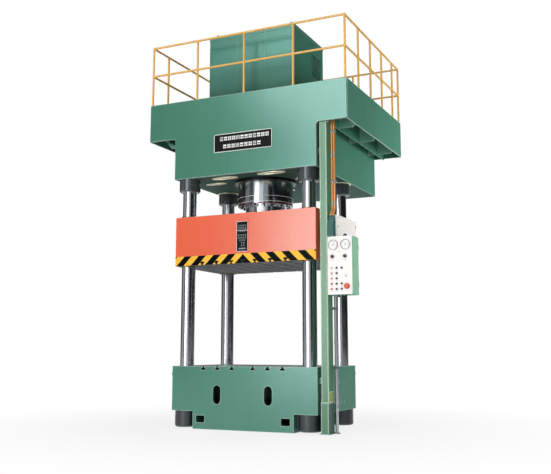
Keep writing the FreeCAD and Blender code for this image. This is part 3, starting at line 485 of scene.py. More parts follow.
# panels stand on an arc round the press. Each has its start and end in degrees from straight in front, where
# right is positive, its low and high edge, its radiance, if metal mirrors it and if it lights plain surfaces
studio = {"floorSize": 160, "floorTone": 0.8, "floorGlow": 0.8, "shadowFrom": 2.2, "shadowTo": 5.5,
          "sky": 0.42, "radius": 13.0,
          "panels": [("keyTop", -27.0, -23.5, 9.8, 13.5, 4.0, True, True),
                     ("keyHigh", -23.5, -1, 8.5, 14.0, 4.9, True, True),
                     ("keyMiddle", -17.0, -1, 6.1, 8.5, 3.9, True, True),
                     ("keyLow", -22.0, -1, 0.1, 6.1, 4.4, True, True),
                     ("softPanel", 1, 12, 0.5, 9.0, 1.3, True, True),
                     ("stripPanel", 13.5, 15.5, 1.0, 9.0, 2.6, True, True),
                     ("glossPanel", 17.0, 36.0, 0.5, 9.0, 0.5, True, False),
                     ("rightFill", 62, 96, 0.2, 4.4, 1.8, False, True),
                     ("frontRightFill", 40, 60, 1.2, 4.4, 1.6, False, True),
                     ("leftFill", -62, -36, 1.0, 9.0, 0.3, False, True)],
          "rearFill": {"place": (4.6, 3.4, 4.2), "aim": (1.3, 0.6, 4.0), "size": 1.6, "radiance": 14.0},
          "flagRadius": 26, "flagHeight": 34,
          # angle round the press and brightness of the dark walls
          "flags": [(-180, 0.9), (-166, 0.8), (-156, 0.05), (-88, 0.04), (-78, 0.34), (-48, 0.42), (-38, 0.1),
                    (-22, 0.12), (0, 0.12), (12, 0.1), (20, 0.06), (33, 0.02), (126, 0.015), (150, 0.03),
                    (164, 0.06), (172, 0.8), (180, 0.9)]}


def addLamp(name, width, height, radiance, place, turn, mirrored, lights):
    data = bpy.data.lights.new(name, "AREA")
    data.shape = "RECTANGLE"
    data.size, data.size_y = width, height
    data.energy = radiance * pi * width * height
    lamp = putAt(addToScene(name, data), place, turn)
    lamp.visible_camera = False
    lamp.visible_glossy = mirrored
    lamp.visible_diffuse = lights


def addPanel(name, start, end, low, high, radiance, mirrored, lights):
    radius = studio["radius"]
    middle = radians((start + end) / 2)
    width = 2 * radius * tan(radians(end - start) / 2)
    place = (radius * sin(middle), -radius * cos(middle), (low + high) / 2)
    addLamp(name, width, high - low, radiance, place, (radians(90), 0, middle), mirrored, lights)


def addRearFill():    # a softer lamp behind the press to the right, out of the metal's sight
    fill = studio["rearFill"]
    turn = (Vector(fill["aim"]) - Vector(fill["place"])).to_track_quat("-Z", "Y").to_euler()
    addLamp("rearFill", fill["size"], fill["size"], fill["radiance"], fill["place"], turn, False, True)


def buildFloor():
    clearSelection()
    bpy.ops.mesh.primitive_plane_add(size=studio["floorSize"], location=origin)
    floor = bpy.context.object
    floor.name = "floor"
    material, tree, shader = newFinish("paleFloor")
    tone = studio["floorTone"]
    feedAll(shader, {"Base Color": (tone, tone, tone), "Roughness": 0.9})
    fromPress = Wire(addNode(tree, "VectorMath", {0: objectPlace(tree)}, operation="LENGTH").outputs["Value"])
    far = span(fromPress, studio["shadowFrom"], studio["shadowTo"])    # the shadow is kept near the press
    glow = addNode(tree, "Emission")
    share = plainRays(tree) * mixValue(far, studio["floorGlow"], 1.0)
    plain = Wire(tree.nodes["Principled BSDF"].outputs[0])
    blend = addNode(tree, "MixShader", {0: share, 1: plain, 2: Wire(glow.outputs[0])})
    feed(tree.nodes["Material Output"].inputs["Surface"], Wire(blend.outputs[0]))
    floor.data.materials.append(material)


def buildSky():
    world = bpy.data.worlds.new("paleSky")
    bpy.context.scene.world = world
    world.use_nodes = True
    tree = world.node_tree
    tree.nodes.clear()
    strength = mixValue(plainRays(tree), studio["sky"], 1.0)
    back = addNode(tree, "Background", {"Color": (1, 1, 1), "Strength": strength})
    feed(addNode(tree, "OutputWorld").inputs["Surface"], Wire(back.outputs[0]))


def buildFlags():    # dark studio walls that only the bright metal shows
    height = studio["flagHeight"]
    clearSelection()
    bpy.ops.mesh.primitive_cylinder_add(vertices=96, radius=studio["flagRadius"], depth=height,
                                        end_fill_type="NOTHING", location=(0, 0, height / 2))
    wall = bakePlace(bpy.context.object)
    wall.name = "studioFlags"
    material, tree, surface = newMaterial("studioFlags")
    x, y, z = split(objectPlace(tree))
    ramp = addNode(tree, "ValToRGB", {0: calc("ARCTAN2", x, y * -1.0) * (0.5 / pi) + 0.5})
    stops = ramp.color_ramp.elements
    while len(stops) < len(studio["flags"]):
        stops.new(0.5)
    for stop, (angle, level) in zip(stops, studio["flags"]):
        stop.position = (angle + 180) / 360
        stop.color = (level, level, level, 1)
    glow = addNode(tree, "Emission", {"Color": Wire(ramp.outputs["Color"])})
    feed(surface, Wire(glow.outputs[0]))
    wall.data.materials.append(material)
    wall.visible_camera = wall.visible_diffuse = wall.visible_transmission = wall.visible_shadow = False


bpy.context.scene.view_settings.view_transform = "Standard"
buildCamera()
buildFloor()
buildSky()
buildFlags()
for panel in studio["panels"]:
    addPanel(*panel)
addRearFill()
print("studio ready")


# painted finishes

# sheen and glare are how strongly and in what tint the bare paint mirrors, coat is the lacquer on it, edge is
# the colour of the painted edge highlight
enamelLook = {"toneAmount": 0.7, "edgeAmount": 0.4, "edgeRadius": 0.004, "gloss": 0.4, "peel": 0.0002,
              "coat": 0.1, "coatRoughness": 0.2, "coatIor": 1.65, "sheen": 0.15, "glare": (1, 1, 1),
              "ior": 1.5, "undersideShade": 0.0}
greenLook = dict(enamelLook, paint=(0.061, 0.217, 0.14), tone=(0.043, 0.166, 0.106), edge=(0.85, 0.97, 0.9),
                 toneAmount=0.8, edgeAmount=1.0, edgeRadius=0.017, gloss=0.2, coat=0.45, sheen=0.75,
                 glare=(0.5, 1.0, 0.95), ior=1.6, undersideShade=0.75)
bedLook = dict(greenLook, edgeAmount=0.65)
housingLook = dict(greenLook, paint=(0.034, 0.172, 0.11), tone=(0.024, 0.132, 0.084), edgeAmount=0.25,
                   edgeRadius=0.012, coatRoughness=0.4, gloss=0.27, coat=0.1, sheen=0.9,
                   glare=(0.5, 1.0, 0.93))
ductLook = dict(greenLook, paint=(0.08, 0.222, 0.125), tone=(0.056, 0.17, 0.092), coat=0.2, sheen=0.5,
                glare=(0.8, 1.0, 0.8))
redLook = dict(enamelLook, paint=(0.87, 0.125, 0.045), tone=(0.82, 0.095, 0.034), edge=(0.98, 0.82, 0.7),
               edgeAmount=0.9, edgeRadius=0.015, gloss=0.2, coat=0.6, coatIor=1.75, sheen=0.5,
               glare=(0.15, 1.0, 1.0), ior=1.6)
yellowLook = dict(enamelLook, paint=(0.81, 0.48, 0.13), tone=(0.68, 0.35, 0.08), edge=(0.98, 0.86, 0.55),
                  edgeAmount=0.3, gloss=0.36, peel=0.0001, coat=0.3)
creamLook = dict(enamelLook, paint=(0.95, 0.92, 0.89), tone=(0.89, 0.85, 0.82), edge=(0.97, 0.96, 0.95),
                 toneAmount=0.6, peel=0.0001, coat=0.2)
greyLook = dict(enamelLook, paint=(0.12, 0.14, 0.15), tone=(0.08, 0.1, 0.11), edge=(0.3, 0.33, 0.34),
                toneAmount=0.6, edgeAmount=0.5, edgeRadius=0.006)
blackLook = dict(enamelLook, paint=(0.006, 0.006, 0.007), tone=(0.012, 0.012, 0.013), edge=(0.04, 0.04, 0.04),
                 toneAmount=0.5, edgeRadius=0.003, peel=0.0001, coat=0.0, coatRoughness=0.12, sheen=0.08)
whiteLook = dict(enamelLook, paint=(0.88, 0.89, 0.86), tone=(0.78, 0.79, 0.76), edge=(0.94, 0.94, 0.94),
                 toneAmount=0.5, edgeAmount=0.2, edgeRadius=0.002, gloss=0.42, peel=0.00005)
boxLook = dict(enamelLook, paint=(0.32, 0.62, 0.44), tone=(0.26, 0.53, 0.37), edge=(0.6, 0.8, 0.68),
               edgeAmount=0.5, edgeRadius=0.005, gloss=0.36, coat=0.4, coatRoughness=0.18)
tealLook = dict(enamelLook, paint=(0.035, 0.13, 0.115), tone=(0.025, 0.095, 0.085), edge=(0.2, 0.36, 0.32),
                coat=0.08, coatRoughness=0.18)


def startPaint(name, look):    # the material, its tree, its shader and the enamel that feeds it
    material, tree, shader = newFinish(name)
    paint = useGroup(tree, "enamel", look)
    feedAll(shader, {"Base Color": paint["Colour"], "Roughness": paint["Roughness"],
                     "Coat Weight": paint["Coat"], "Coat Roughness": look["coatRoughness"],
                     "Coat IOR": look["coatIor"], "IOR": look["ior"], "Specular IOR Level": look["sheen"],
                     "Specular Tint": look["glare"]})
    addBump(shader, paint["Height"], look["peel"])
    return material, tree, shader, paint


def paintFinish(name, look, **changes):
    return startPaint(name, dict(look, **changes))[0]


green = paintFinish("greenEnamel", greenLook)
bedGreen = paintFinish("bedEnamel", bedLook)
dullGreen = paintFinish("stringerEnamel", greenLook, edgeAmount=0.25)
filler = paintFinish("seamFiller", greenLook, edgeAmount=0.0)
darkSeam = paintFinish("seamSealer", greenLook, paint=(0.03, 0.09, 0.065), tone=(0.02, 0.06, 0.045),
                       edgeAmount=0.0)
# a lighter copy of the green: painted light on the ribs, which the skirt shades
litRibGreen = paintFinish("litRibEnamel", greenLook, paint=(0.28, 0.6, 0.45), tone=(0.22, 0.52, 0.38),
                       edgeAmount=0.6)
yellow = paintFinish("yellowEnamel", yellowLook)
cream = paintFinish("creamEnamel", creamLook)
grey = paintFinish("greyEnamel", greyLook)
clampGrey = paintFinish("clampEnamel", greyLook, paint=(0.16, 0.22, 0.19), tone=(0.1, 0.15, 0.13))
black = paintFinish("blackEnamel", blackLook)
white = paintFinish("whiteEnamel", whiteLook)
dimWhite = paintFinish("dimWhite", whiteLook, paint=(0.34, 0.35, 0.37), tone=(0.2, 0.21, 0.23))
paleRim = paintFinish("paleRim", whiteLook, paint=(0.72, 0.8, 0.7), tone=(0.6, 0.68, 0.58))
plateRim = paintFinish("plateRim", whiteLook, paint=(0.72, 0.62, 0.6), tone=(0.6, 0.5, 0.48))
boxGreen = paintFinish("boxEnamel", boxLook)
teal = paintFinish("tealEnamel", tealLook)


def coverFinish():    # varnished covers that mirror the pale floor; their near-white cream colour is a painted highlight
    look = dict(creamLook, paint=(0.97, 0.98, 0.76), tone=(0.9, 0.9, 0.55))
    material, tree, shader, paint = startPaint("coverHighlightCream", look)
    streaks = noise(objectPlace(tree), 2.0, 3.0, 0.6, stretch=(1, 5, 1))
    feedAll(shader, {"Roughness": streaks * 0.3 + 0.15, "Metallic": 0.6})
    return material


# painted shade near the deck: where it starts and ends, its colour and roughness
deckShade = {"deck": 5.19, "reach": 5.9, "colour": (0.025, 0.075, 0.05), "roughness": 0.95}


def housingFinish():    # darker and matt towards the deck: painted shade where the sheet stands on the deck, broken up by noise
    material, tree, shader, paint = startPaint("housingEnamel", housingLook)
    place = objectPlace(tree)
    low = span(split(place)[2], deckShade["reach"], deckShade["deck"])
    patchyDeckShade = clip(low * (noise(place, 1.2) + 0.45))
    feedAll(shader, {"Base Color": mixColour(patchyDeckShade, paint["Colour"], deckShade["colour"]),
                     "Coat Weight": paint["Coat"] * (1.0 - patchyDeckShade),
                     "Roughness": mixValue(patchyDeckShade, paint["Roughness"], deckShade["roughness"])})
    return material


ductColours = {"coverSide": 1.3853, "coverLow": 0.448, "coverHigh": 0.592, "cover": (0.3, 0.36, 0.08),
               "sideShadeTop": 0.44, "sideShade": (0.05, 0.1, 0.1)}


def ductFinish():    # the post's side is darker low down as painted shade, under a yellow-green cover
    material, tree, shader, paint = startPaint("ductEnamel", ductLook)
    x, y, z = split(objectPlace(tree))
    side = span(faceWay(tree)[0], 0.6, 0.8)
    # painted shade on the lower side faces
    dark = side * (z < ductColours["sideShadeTop"]) * 0.75
    cover = (x > ductColours["coverSide"]) * (z > ductColours["coverLow"]) * (z < ductColours["coverHigh"])
    colour = mixColour(dark, paint["Colour"], ductColours["sideShade"])
    feed(shader["Base Color"], mixColour(cover * 0.8, colour, ductColours["cover"]))
    return material


hazardBand = {"top": 2.641, "bottom": 2.492, "front": -0.793, "period": 0.262, "centre": 0.14,
              "yellow": (0.95, 0.53, 0.03), "wornYellow": (0.86, 0.43, 0.02),
              "black": (0.003, 0.003, 0.003), "wornBlack": (0.007, 0.007, 0.007), "roughness": 0.6}
platenSteel = {"under": 2.4925, "slotTop": 2.549, "slotX": 1.2, "slotY": 0.7935, "seam": 2.612,
               "steel": (0.34, 0.27, 0.285), "shade": (0.03, 0.025, 0.03)}
# bright orange mixed into the slider's side faces: painted light
sliderFlankLight = (1.0, 0.25, 0.06)


def sliderFinish():    # red enamel, with the striped band low on the front and bare steel below
    material, tree, shader, paint = startPaint("sliderEnamel", redLook)
    place = objectPlace(tree)
    x, y, z = split(place)
    band = (y < hazardBand["front"]) * (z < hazardBand["top"])
    rise = abs(x) + (z - hazardBand["bottom"])
    middle = hazardBand["centre"]
    first = middle + hazardBand["period"] / 2
    beat = calc("FRACT", (rise - first) / hazardBand["period"])
    stripe = larger(rise < middle, (beat < 0.5) * (rise > first))
    wear = span(noise(place, 14.0, 5.0, 0.7), 0.3, 0.75)
    striped = mixColour(stripe, mixColour(wear, hazardBand["yellow"], hazardBand["wornYellow"]),
                        mixColour(wear, hazardBand["black"], hazardBand["wornBlack"]))
    # the side faces are mixed toward bright orange: painted light on the flanks
    flankLight = span(abs(faceWay(tree)[0]), 0.8, 0.95)
    body = mixColour(flankLight * 0.5, paint["Colour"], sliderFlankLight)
    offSeam = span(abs(z - platenSteel["seam"]), 0.018, 0.024)    # no painted edge highlight at the platen's seam
    feed(paint["Colour"].socket.node.inputs["edgeAmount"], offSeam * redLook["edgeAmount"])
    steel = useGroup(tree, "machined", platenSteel)
    inSlot = (z < platenSteel["slotTop"]) * (abs(y) < platenSteel["slotY"]) * (abs(x) < platenSteel["slotX"])
    under = larger(z < platenSteel["under"], inSlot)
    bandRough = mixValue(band, paint["Roughness"], hazardBand["roughness"])
    feedAll(shader, {"Base Color": mixColour(under, mixColour(band, body, striped), steel["Colour"]),
                     "Metallic": band * (stripe * 0.6 + 0.35),
                     "Roughness": mixValue(under, bandRough, steel["Roughness"] + 0.55),
                     "Coat Weight": (1.0 - larger(under, band * 0.97)) * paint["Coat"]})
    return material


tableSteel = {"top": 0.9375, "slotLow": 0.8815, "slotX": 0.72, "slotY": 0.7985, "oilFrom": 0.937,
              "oilTo": 0.925,
              "steel": (0.62, 0.63, 0.63), "shade": (0.42, 0.43, 0.43), "oil": (0.02, 0.022, 0.024)}


def tableFinish():    # green enamel sides, bare machined steel top, and slots darkened with depth as painted shade
    material, tree, shader, paint = startPaint("tableEnamel", bedLook)
    x, y, z = split(objectPlace(tree))
    steel = useGroup(tree, "machined", tableSteel)
    top = z > tableSteel["top"]
    inSlot = (z > tableSteel["slotLow"]) * (abs(y) < tableSteel["slotY"]) * (abs(x) < tableSteel["slotX"])
    bare = larger(top, inSlot)
    shadedSlots = mixColour(span(z, tableSteel["oilFrom"], tableSteel["oilTo"]), steel["Colour"], tableSteel["oil"])
    feedAll(shader, {"Base Color": mixColour(bare, paint["Colour"], shadedSlots), "Metallic": top * 0.45,
                     "Roughness": mixValue(bare, paint["Roughness"], steel["Roughness"] + 0.12),
                     "Coat Weight": (1.0 - bare) * paint["Coat"]})
    return material


blackField = {"left": -0.105, "right": 0.086, "low": 2.674, "high": 3.135, "metallic": 0.9, "roughness": 0.45}


def dataPlateFinish():    # the black plate on its raised pad, which is painted with the slider
    look = dict(redLook, edgeAmount=0.2, edgeRadius=0.004)
    material, tree, shader, red = startPaint("dataPlateEnamel", look)
    field = useGroup(tree, "enamel", dict(blackLook, edgeAmount=0.5))
    x, y, z = split(objectPlace(tree))
    pad = larger(larger(x < blackField["left"], x > blackField["right"]),
                 larger(z < blackField["low"], z > blackField["high"]))
    feedAll(shader, {"Base Color": mixColour(pad, field["Colour"], red["Colour"]),
                     "Metallic": (1.0 - pad) * blackField["metallic"],
                     "Roughness": mixValue(pad, blackField["roughness"], red["Roughness"]),
                     "Coat Weight": pad * red["Coat"]})
    return material


tread = {"pitch": 0.042, "long": 1.25, "short": 4.6, "worn": (0.3, 0.42, 0.36), "height": 0.003}


def deckFinish():    # tread plate: crossed raised lozenges on the walking side
    material, tree, shader, paint = startPaint("deckEnamel", greenLook)
    x, y, z = split(objectPlace(tree))
    across, along = x / tread["pitch"], y / tread["pitch"]
    odd = calc("PINGPONG", calc("FLOOR", across) + calc("FLOOR", along), 1.0)
    cellX, cellY = calc("FRACT", across) - 0.5, calc("FRACT", along) - 0.5
    leanA, leanB = cellX + cellY, cellX - cellY
    lozenge = (abs(mixValue(odd, leanA, leanB) * tread["long"]) ** 2.0
               + abs(mixValue(odd, leanB, leanA) * tread["short"]) ** 2.0)
    raised = span(lozenge, 0.5, 0.3) * span(faceWay(tree)[2], 0.8, 0.95)
    feed(shader["Base Color"], mixColour(raised * 0.45, paint["Colour"], tread["worn"]))
    addBump(shader, raised, tread["height"])
    return material


coverHighlightCream = coverFinish()
housingPaint = housingFinish()
ductPaint = ductFinish()
sliderPaint = sliderFinish()
tablePaint = tableFinish()
platePaint = dataPlateFinish()
deckPaint = deckFinish()
print("painted finishes ready")


# metal, plastic and glass finishes

steelLook = {"edgeRadius": 0.004, "edgeGain": 1.2, "metallic": 1.0, "lines": 0.00003}
turnedLook = dict(steelLook, steel=(0.38, 0.42, 0.44), film=(0.17, 0.2, 0.215), edge=(0.75, 0.79, 0.8),
                  gloss=0.15, edgeRadius=0.008, edgeGain=2.0)
blackSteelLook = dict(steelLook, steel=(0.065, 0.078, 0.084), film=(0.035, 0.044, 0.048),
                      edge=(0.26, 0.3, 0.31), gloss=0.24, edgeRadius=0.006, edgeGain=1.6, metallic=0.55,
                      lines=0.00005)
satinLook = dict(steelLook, steel=(0.4, 0.42, 0.44), film=(0.28, 0.3, 0.32), edge=(0.75, 0.77, 0.8),
                 gloss=0.22, edgeRadius=0.0015, edgeGain=1.4, lines=0.00001)


def startMetal(name, look):    # the material, its tree, its shader and the steel that feeds it
    material, tree, shader = newFinish(name)
    steel = useGroup(tree, "polish", look)
    edge = useGroup(tree, "edgeHighlight", look)["Mask"]
    # the edge colour is a painted highlight along the edges
    feedAll(shader, {"Base Color": mixColour(edge, steel["Colour"], look["edge"]),
                     "Roughness": steel["Roughness"], "Metallic": look["metallic"]})
    addBump(shader, steel["Height"], look["lines"])
    return material, tree, shader, steel


def metalFinish(name, look=steelLook, **changes):
    return startMetal(name, dict(look, **changes))[0]


chrome = metalFinish("polishedColumn", steel=(0.62, 0.64, 0.67), film=(0.45, 0.48, 0.52),
                     edge=(0.85, 0.87, 0.9), gloss=0.14, edgeGain=0.8, lines=0.00002)
blackSteel = metalFinish("blackSteel", blackSteelLook)
# a strong painted highlight along the collar nuts' edges
collarSteel = metalFinish("collarSteel", blackSteelLook, steel=(0.1, 0.118, 0.125), edge=(0.5, 0.54, 0.56),
                          gloss=0.2, edgeRadius=0.01, edgeGain=3.0)
zinc = metalFinish("zincSteel", steel=(0.52, 0.55, 0.57), film=(0.4, 0.43, 0.44), edge=(0.7, 0.73, 0.75),
                   gloss=0.3, edgeRadius=0.003, metallic=0.9)
copper = metalFinish("drawnCopper", steel=(0.86, 0.4, 0.13), film=(0.66, 0.27, 0.08), edge=(0.95, 0.6, 0.3),
                     gloss=0.28, edgeRadius=0.002, edgeGain=0.8, metallic=0.65)
bronze = metalFinish("bushBronze", steel=(0.3, 0.2, 0.09), film=(0.17, 0.12, 0.06), edge=(0.7, 0.5, 0.25),
                     gloss=0.26, metallic=0.95)
satin = metalFinish("satinSteel", satinLook)
nutSteel = metalFinish("nutSteel", steel=(0.05, 0.06, 0.066), film=(0.025, 0.03, 0.034),
                       edge=(0.5, 0.54, 0.56), gloss=0.42, edgeRadius=0.006, edgeGain=1.6, metallic=0.8,
                       lines=0.00004)
feedAll(nutSteel.node_tree.nodes["Principled BSDF"].inputs, {"Coat Weight": 0.7, "Coat Roughness": 0.4})
rimSteel = metalFinish("gaugeRim", steel=(0.3, 0.28, 0.29), film=(0.2, 0.19, 0.2), edge=(0.5, 0.48, 0.48),
                       gloss=0.3, edgeRadius=0.0015, edgeGain=3.0, metallic=0.6, lines=0.00001)
grooveHighlight = metalFinish("grooveHighlightSteel", steel=(0.86, 0.88, 0.9), film=(0.7, 0.72, 0.75),
                         edge=(0.9, 0.9, 0.9), gloss=0.35, edgeRadius=0.002, edgeGain=1.0, metallic=0.3,
                         lines=0.00001)

blackenedAndShaded = {"nutLow": 3.84, "shadedScrewsHigh": 3.4735, "shadedScrewsReach": 0.44, "colour": (0.03, 0.034, 0.038),
             "roughness": 0.3}


def barrelFinish():    # turned barrel and gland ring; the nut above is blackened, and the gland screws below are darkened as painted shade
    material, tree, shader, steel = startMetal("turnedBarrel", turnedLook)
    x, y, z = split(objectPlace(tree))
    radius = calc("SQRT", x * x + y * y)
    screws = (z < blackenedAndShaded["shadedScrewsHigh"]) * (radius < blackenedAndShaded["shadedScrewsReach"])
    dark = larger(z > blackenedAndShaded["nutLow"], screws)
    # a stronger painted edge highlight on the barrel
    edge = useGroup(tree, "edgeHighlight", dict(turnedLook, edgeGain=2.2))["Mask"]
    bright = mixColour(edge, steel["Colour"], turnedLook["edge"])
    feedAll(shader, {"Base Color": mixColour(dark, bright, blackenedAndShaded["colour"]),
                     "Roughness": mixValue(dark, steel["Roughness"], blackenedAndShaded["roughness"])})
    return material


def startPlastic(name, colour, shade, roughness=0.28):
    material, tree, shader = newFinish(name)
    speck = noise(objectPlace(tree), 240.0, 3.0, 0.6)
    edge = useGroup(tree, "edgeHighlight", {"edgeRadius": 0.0015, "edgeGain": 1.2})["Mask"]
    toned = mixColour(span(speck, 0.35, 0.7), colour, shade)
    # the edges get a lighter colour: a painted highlight
    lit = tuple(min(1.0, channel * 1.6 + 0.05) for channel in colour)
    feedAll(shader, {"Base Color": mixColour(edge, toned, lit), "Roughness": speck * 0.12 + roughness,
                     "Specular IOR Level": 0.25})
    addBump(shader, speck, 0.00003)
    return material, tree, shader


# lenses are coloured row by row, each colour below its height, and apart in the column at the right
lens = {"colour": (0.62, 0.72, 0.64), "rows": [(2.31, (0.78, 0.3, 0.27)), (2.16, (0.4, 0.05, 0.04))],
        "rightX": 1.6, "right": (0.72, 0.7, 0.76), "collarY": -0.8032, "collar": (0.16, 0.16, 0.17),
        "ribsPerMetre": 260.0, "rib": (0.9, 0.88, 0.86)}


def lampFinish():    # ribbed lenses in dark collars
    material, tree, shader = startPlastic("lampLens", (0.6, 0.66, 0.6), (0.5, 0.56, 0.5), 0.16)
    x, y, z = split(objectPlace(tree))
    tint = lens["colour"]
    for height, colour in lens["rows"]:
        tint = mixColour(z < height, tint, colour)
    tint = mixColour(x > lens["rightX"], tint, lens["right"])
    ribs = abs(calc("FRACT", x * lens["ribsPerMetre"]) - 0.5)
    tint = mixColour(ribs * 0.5, tint, lens["rib"])
    feedAll(shader, {"Base Color": mixColour(y > lens["collarY"], tint, lens["collar"]), "Coat Weight": 0.6})
    addBump(shader, ribs, 0.0006)
    return material


stopCollar = {"left": 1.639, "top": 2.132, "red": (0.78, 0.16, 0.07), "shade": (0.68, 0.12, 0.05)}


def bezelFinish():    # satin rings, and a red collar round the stop button
    material, tree, shader, steel = startMetal("bezelSteel", satinLook)
    place = objectPlace(tree)
    x, y, z = split(place)
    collar = (x > stopCollar["left"]) * (z < stopCollar["top"])
    redTone = mixColour(noise(place, 200.0), stopCollar["red"], stopCollar["shade"])
    feedAll(shader, {"Base Color": mixColour(collar, steel["Colour"], redTone), "Metallic": 1.0 - collar})
    return material


def glassFinish():    # a clear pane with faint smears
    material, tree, shader = newFinish("gaugeGlass")
    smear = span(noise(objectPlace(tree), 30.0, 3.0, 0.6), 0.4, 0.8)
    feedAll(shader, {"Roughness": smear * 0.08, "Base Color": (0.95, 0.98, 0.98), "Transmission Weight": 1.0,
                     "IOR": 1.2, "Alpha": 0.25})
    return material


barrel = barrelFinish()
blackPlastic = startPlastic("blackPlastic", (0.012, 0.012, 0.014), (0.022, 0.022, 0.024))[0]
redPlastic = startPlastic("redPlastic", (0.72, 0.075, 0.022), (0.6, 0.05, 0.015))[0]
labelPlastic = startPlastic("labelPlastic", (0.72, 0.71, 0.7), (0.62, 0.61, 0.6), 0.5)[0]
oilGlass = startPlastic("oilGlass", (0.5, 0.3, 0.05), (0.38, 0.2, 0.03), 0.1)[0]
lamps = lampFinish()
bezels = bezelFinish()
glass = glassFinish()


wornBy = [(bedGreen, "bed_frame"),
          (green, "crown_body crown_front_plate platform_skirts duct_brackets"),
          (dullGreen, "platform_stringers"), (litRibGreen, "platform_ribs"),
          (housingPaint, "machinery_housing"), (ductPaint, "duct_post duct_base"),
          (boxGreen, "control_box"), (teal, "junction_box"), (tablePaint, "bed_table"),
          (deckPaint, "platform_deck"),
          (yellow, "railing_front railing_rear railing_right railing_left"),
          (cream, "control_panel terminal_cabinet"), (sliderPaint, "slider_frame slider_platen"),
          (chrome, "column_front_left column_front_right column_rear_left column_rear_right ram"),
          (collarSteel, "column_nuts_inner"), (blackSteel, "column_nuts_top ram_bolts"),
          (nutSteel, "column_nuts_lower"), (barrel, "main_cylinder cylinder_rings"),
          (bronze, "guide_bushes"), (black, "name_plate gauge_needle_left gauge_needle_right"),
          (platePaint, "data_plate"), (grey, "pump_unit filling_valve"), (copper, "pressure_pipes"),
          (clampGrey, "clamps"), (zinc, "conduit"),
          (blackPlastic, "signal_dome regulator_knob_left regulator_knob_right"),
          (blackPlastic, "button_start button_return button_inch button_half button_lower button_raise"),
          (blackPlastic, "button_cushion_up button_cushion_down"),
          (redPlastic, "button_halt emergency_stop"), (lamps, "indicator_lamps"),
          (bezels, "button_bezels"), (rimSteel, "gauge_cases"), (glass, "gauge_glasses")]
for material, names in wornBy:
    for name in names.split():
        nodes[name].data.materials.clear()
        nodes[name].data.materials.append(material)
print("all nodes dressed")


# plates on the crown and on the slider: a bright rim and rows of plain blocks in place of words

# a row has its start and height from the plate's centre, its number of marks and their pitch
namePlate = {"node": "name_plate", "body": "press_frame", "rim": 0.011, "inset": 0.0055,
             "mark": (0.056, 0.062, 0.011), "rows": [(-0.372, 0.067, 12, 0.0725), (-0.315, -0.058, 9, 0.075)]}
dataPlate = {"node": "data_plate", "body": "slider", "rim": 0.008, "inset": 0.004,
             "area": ((-0.109, 2.67), (0.09, 3.139)), "divider": 2.998, "dividerHeight": 0.009,
             "strip": (0.12, 0.002, 0.02), "stripZ": 2.715, "mark": (0.02, 0.024, 0.0045),
             "rows": [(-0.057, 0.1655, 4, 0.038), (-0.057, 0.1275, 4, 0.038), (-0.037, 0.0815, 3, 0.038),
                      (-0.057, 0.0185, 4, 0.038), (-0.057, -0.0215, 4, 0.038), (-0.037, -0.0615, 3, 0.038),
                      (-0.007, -0.1015, 2, 0.038), (-0.007, -0.1415, 2, 0.038)]}
proud = {"rim": 0.003, "mark": 0.001}


def addMark(width, height, stroke, kind):    # a small block of bars and squares that spells nothing
    halfWidth, halfHeight = width / 2 - stroke * 0.4, height / 2 - stroke * 0.4
    edge = halfHeight - stroke * 0.1
    shapes = [[((width, stroke), (0, z)) for z in (edge, 0, -edge)],
              [((halfWidth, halfHeight), (x * width / 4, z * height / 4)) for x, z in fourWays(1.15, 1.1)],
              [((stroke, height), (x, 0)) for x in (-halfWidth, 0, halfWidth)],
              [((width, height * 0.42), (0, height * 0.27))]
              + [((halfWidth, height * 0.36), (x * width, height * -0.3)) for x in (-0.28, 0.28)]]
    bars = shapes[kind * 7 % 4 if kind % 2 else kind // 2 % 4]
    return joinAll([addBox((w, 0.002, h), (x, 0, z), 0.0004, 1) for (w, h), (x, z) in bars])


def buildPlate(name, plate, rimFinish, markFinish):
    low, high, centre = boxOf(plate["node"])
    if "area" in plate:
        (low.x, low.z), (high.x, high.z) = plate["area"]
        centre = (low + high) / 2
    front, width = low.y - proud["mark"], high.x - low.x
    rim = [addFrame(width, high.z - low.z, plate["rim"], proud["rim"], (centre.x, low.y, centre.z))]
    marks = []
    for row, (x, z, count, pitch) in enumerate(plate["rows"]):
        for number in range(count):
            mark = addMark(*plate["mark"], row + number)
            marks.append(putAt(mark, (centre.x + x + number * pitch, front, centre.z + z)))
    if "divider" in plate:
        middle = (centre.x, low.y - proud["rim"] / 2, plate["divider"])
        rim.append(addBox((width - 0.01, proud["rim"], plate["dividerHeight"]), middle, 0.0008, 1))
        marks.append(addBox(plate["strip"], (centre.x, front, plate["stripZ"]), 0.0005, 1))
    finishPiece(rim, name + "Rim", rimFinish, plate["body"])
    finishPiece(marks, name + "Marks", markFinish, plate["body"])
    points = inCorners(low, high, plate["inset"], low.y - proud["rim"])
    finishPiece(addSocketScrews(name, points), name + "Screws", satin, plate["body"])


buildPlate("namePlate", namePlate, paleRim, white)
buildPlate("dataPlate", dataPlate, plateRim, dimWhite)
print("plates ready")


# railing: weld beads where the tubes meet the deck and each other

railing = {"midRail": 0.508, "bays": 4, "rightBay": 0.592, "rightPosts": 4, "leftFirst": 0.458,
           "leftBay": 0.97, "leftPosts": 3, "bead": 0.0042}


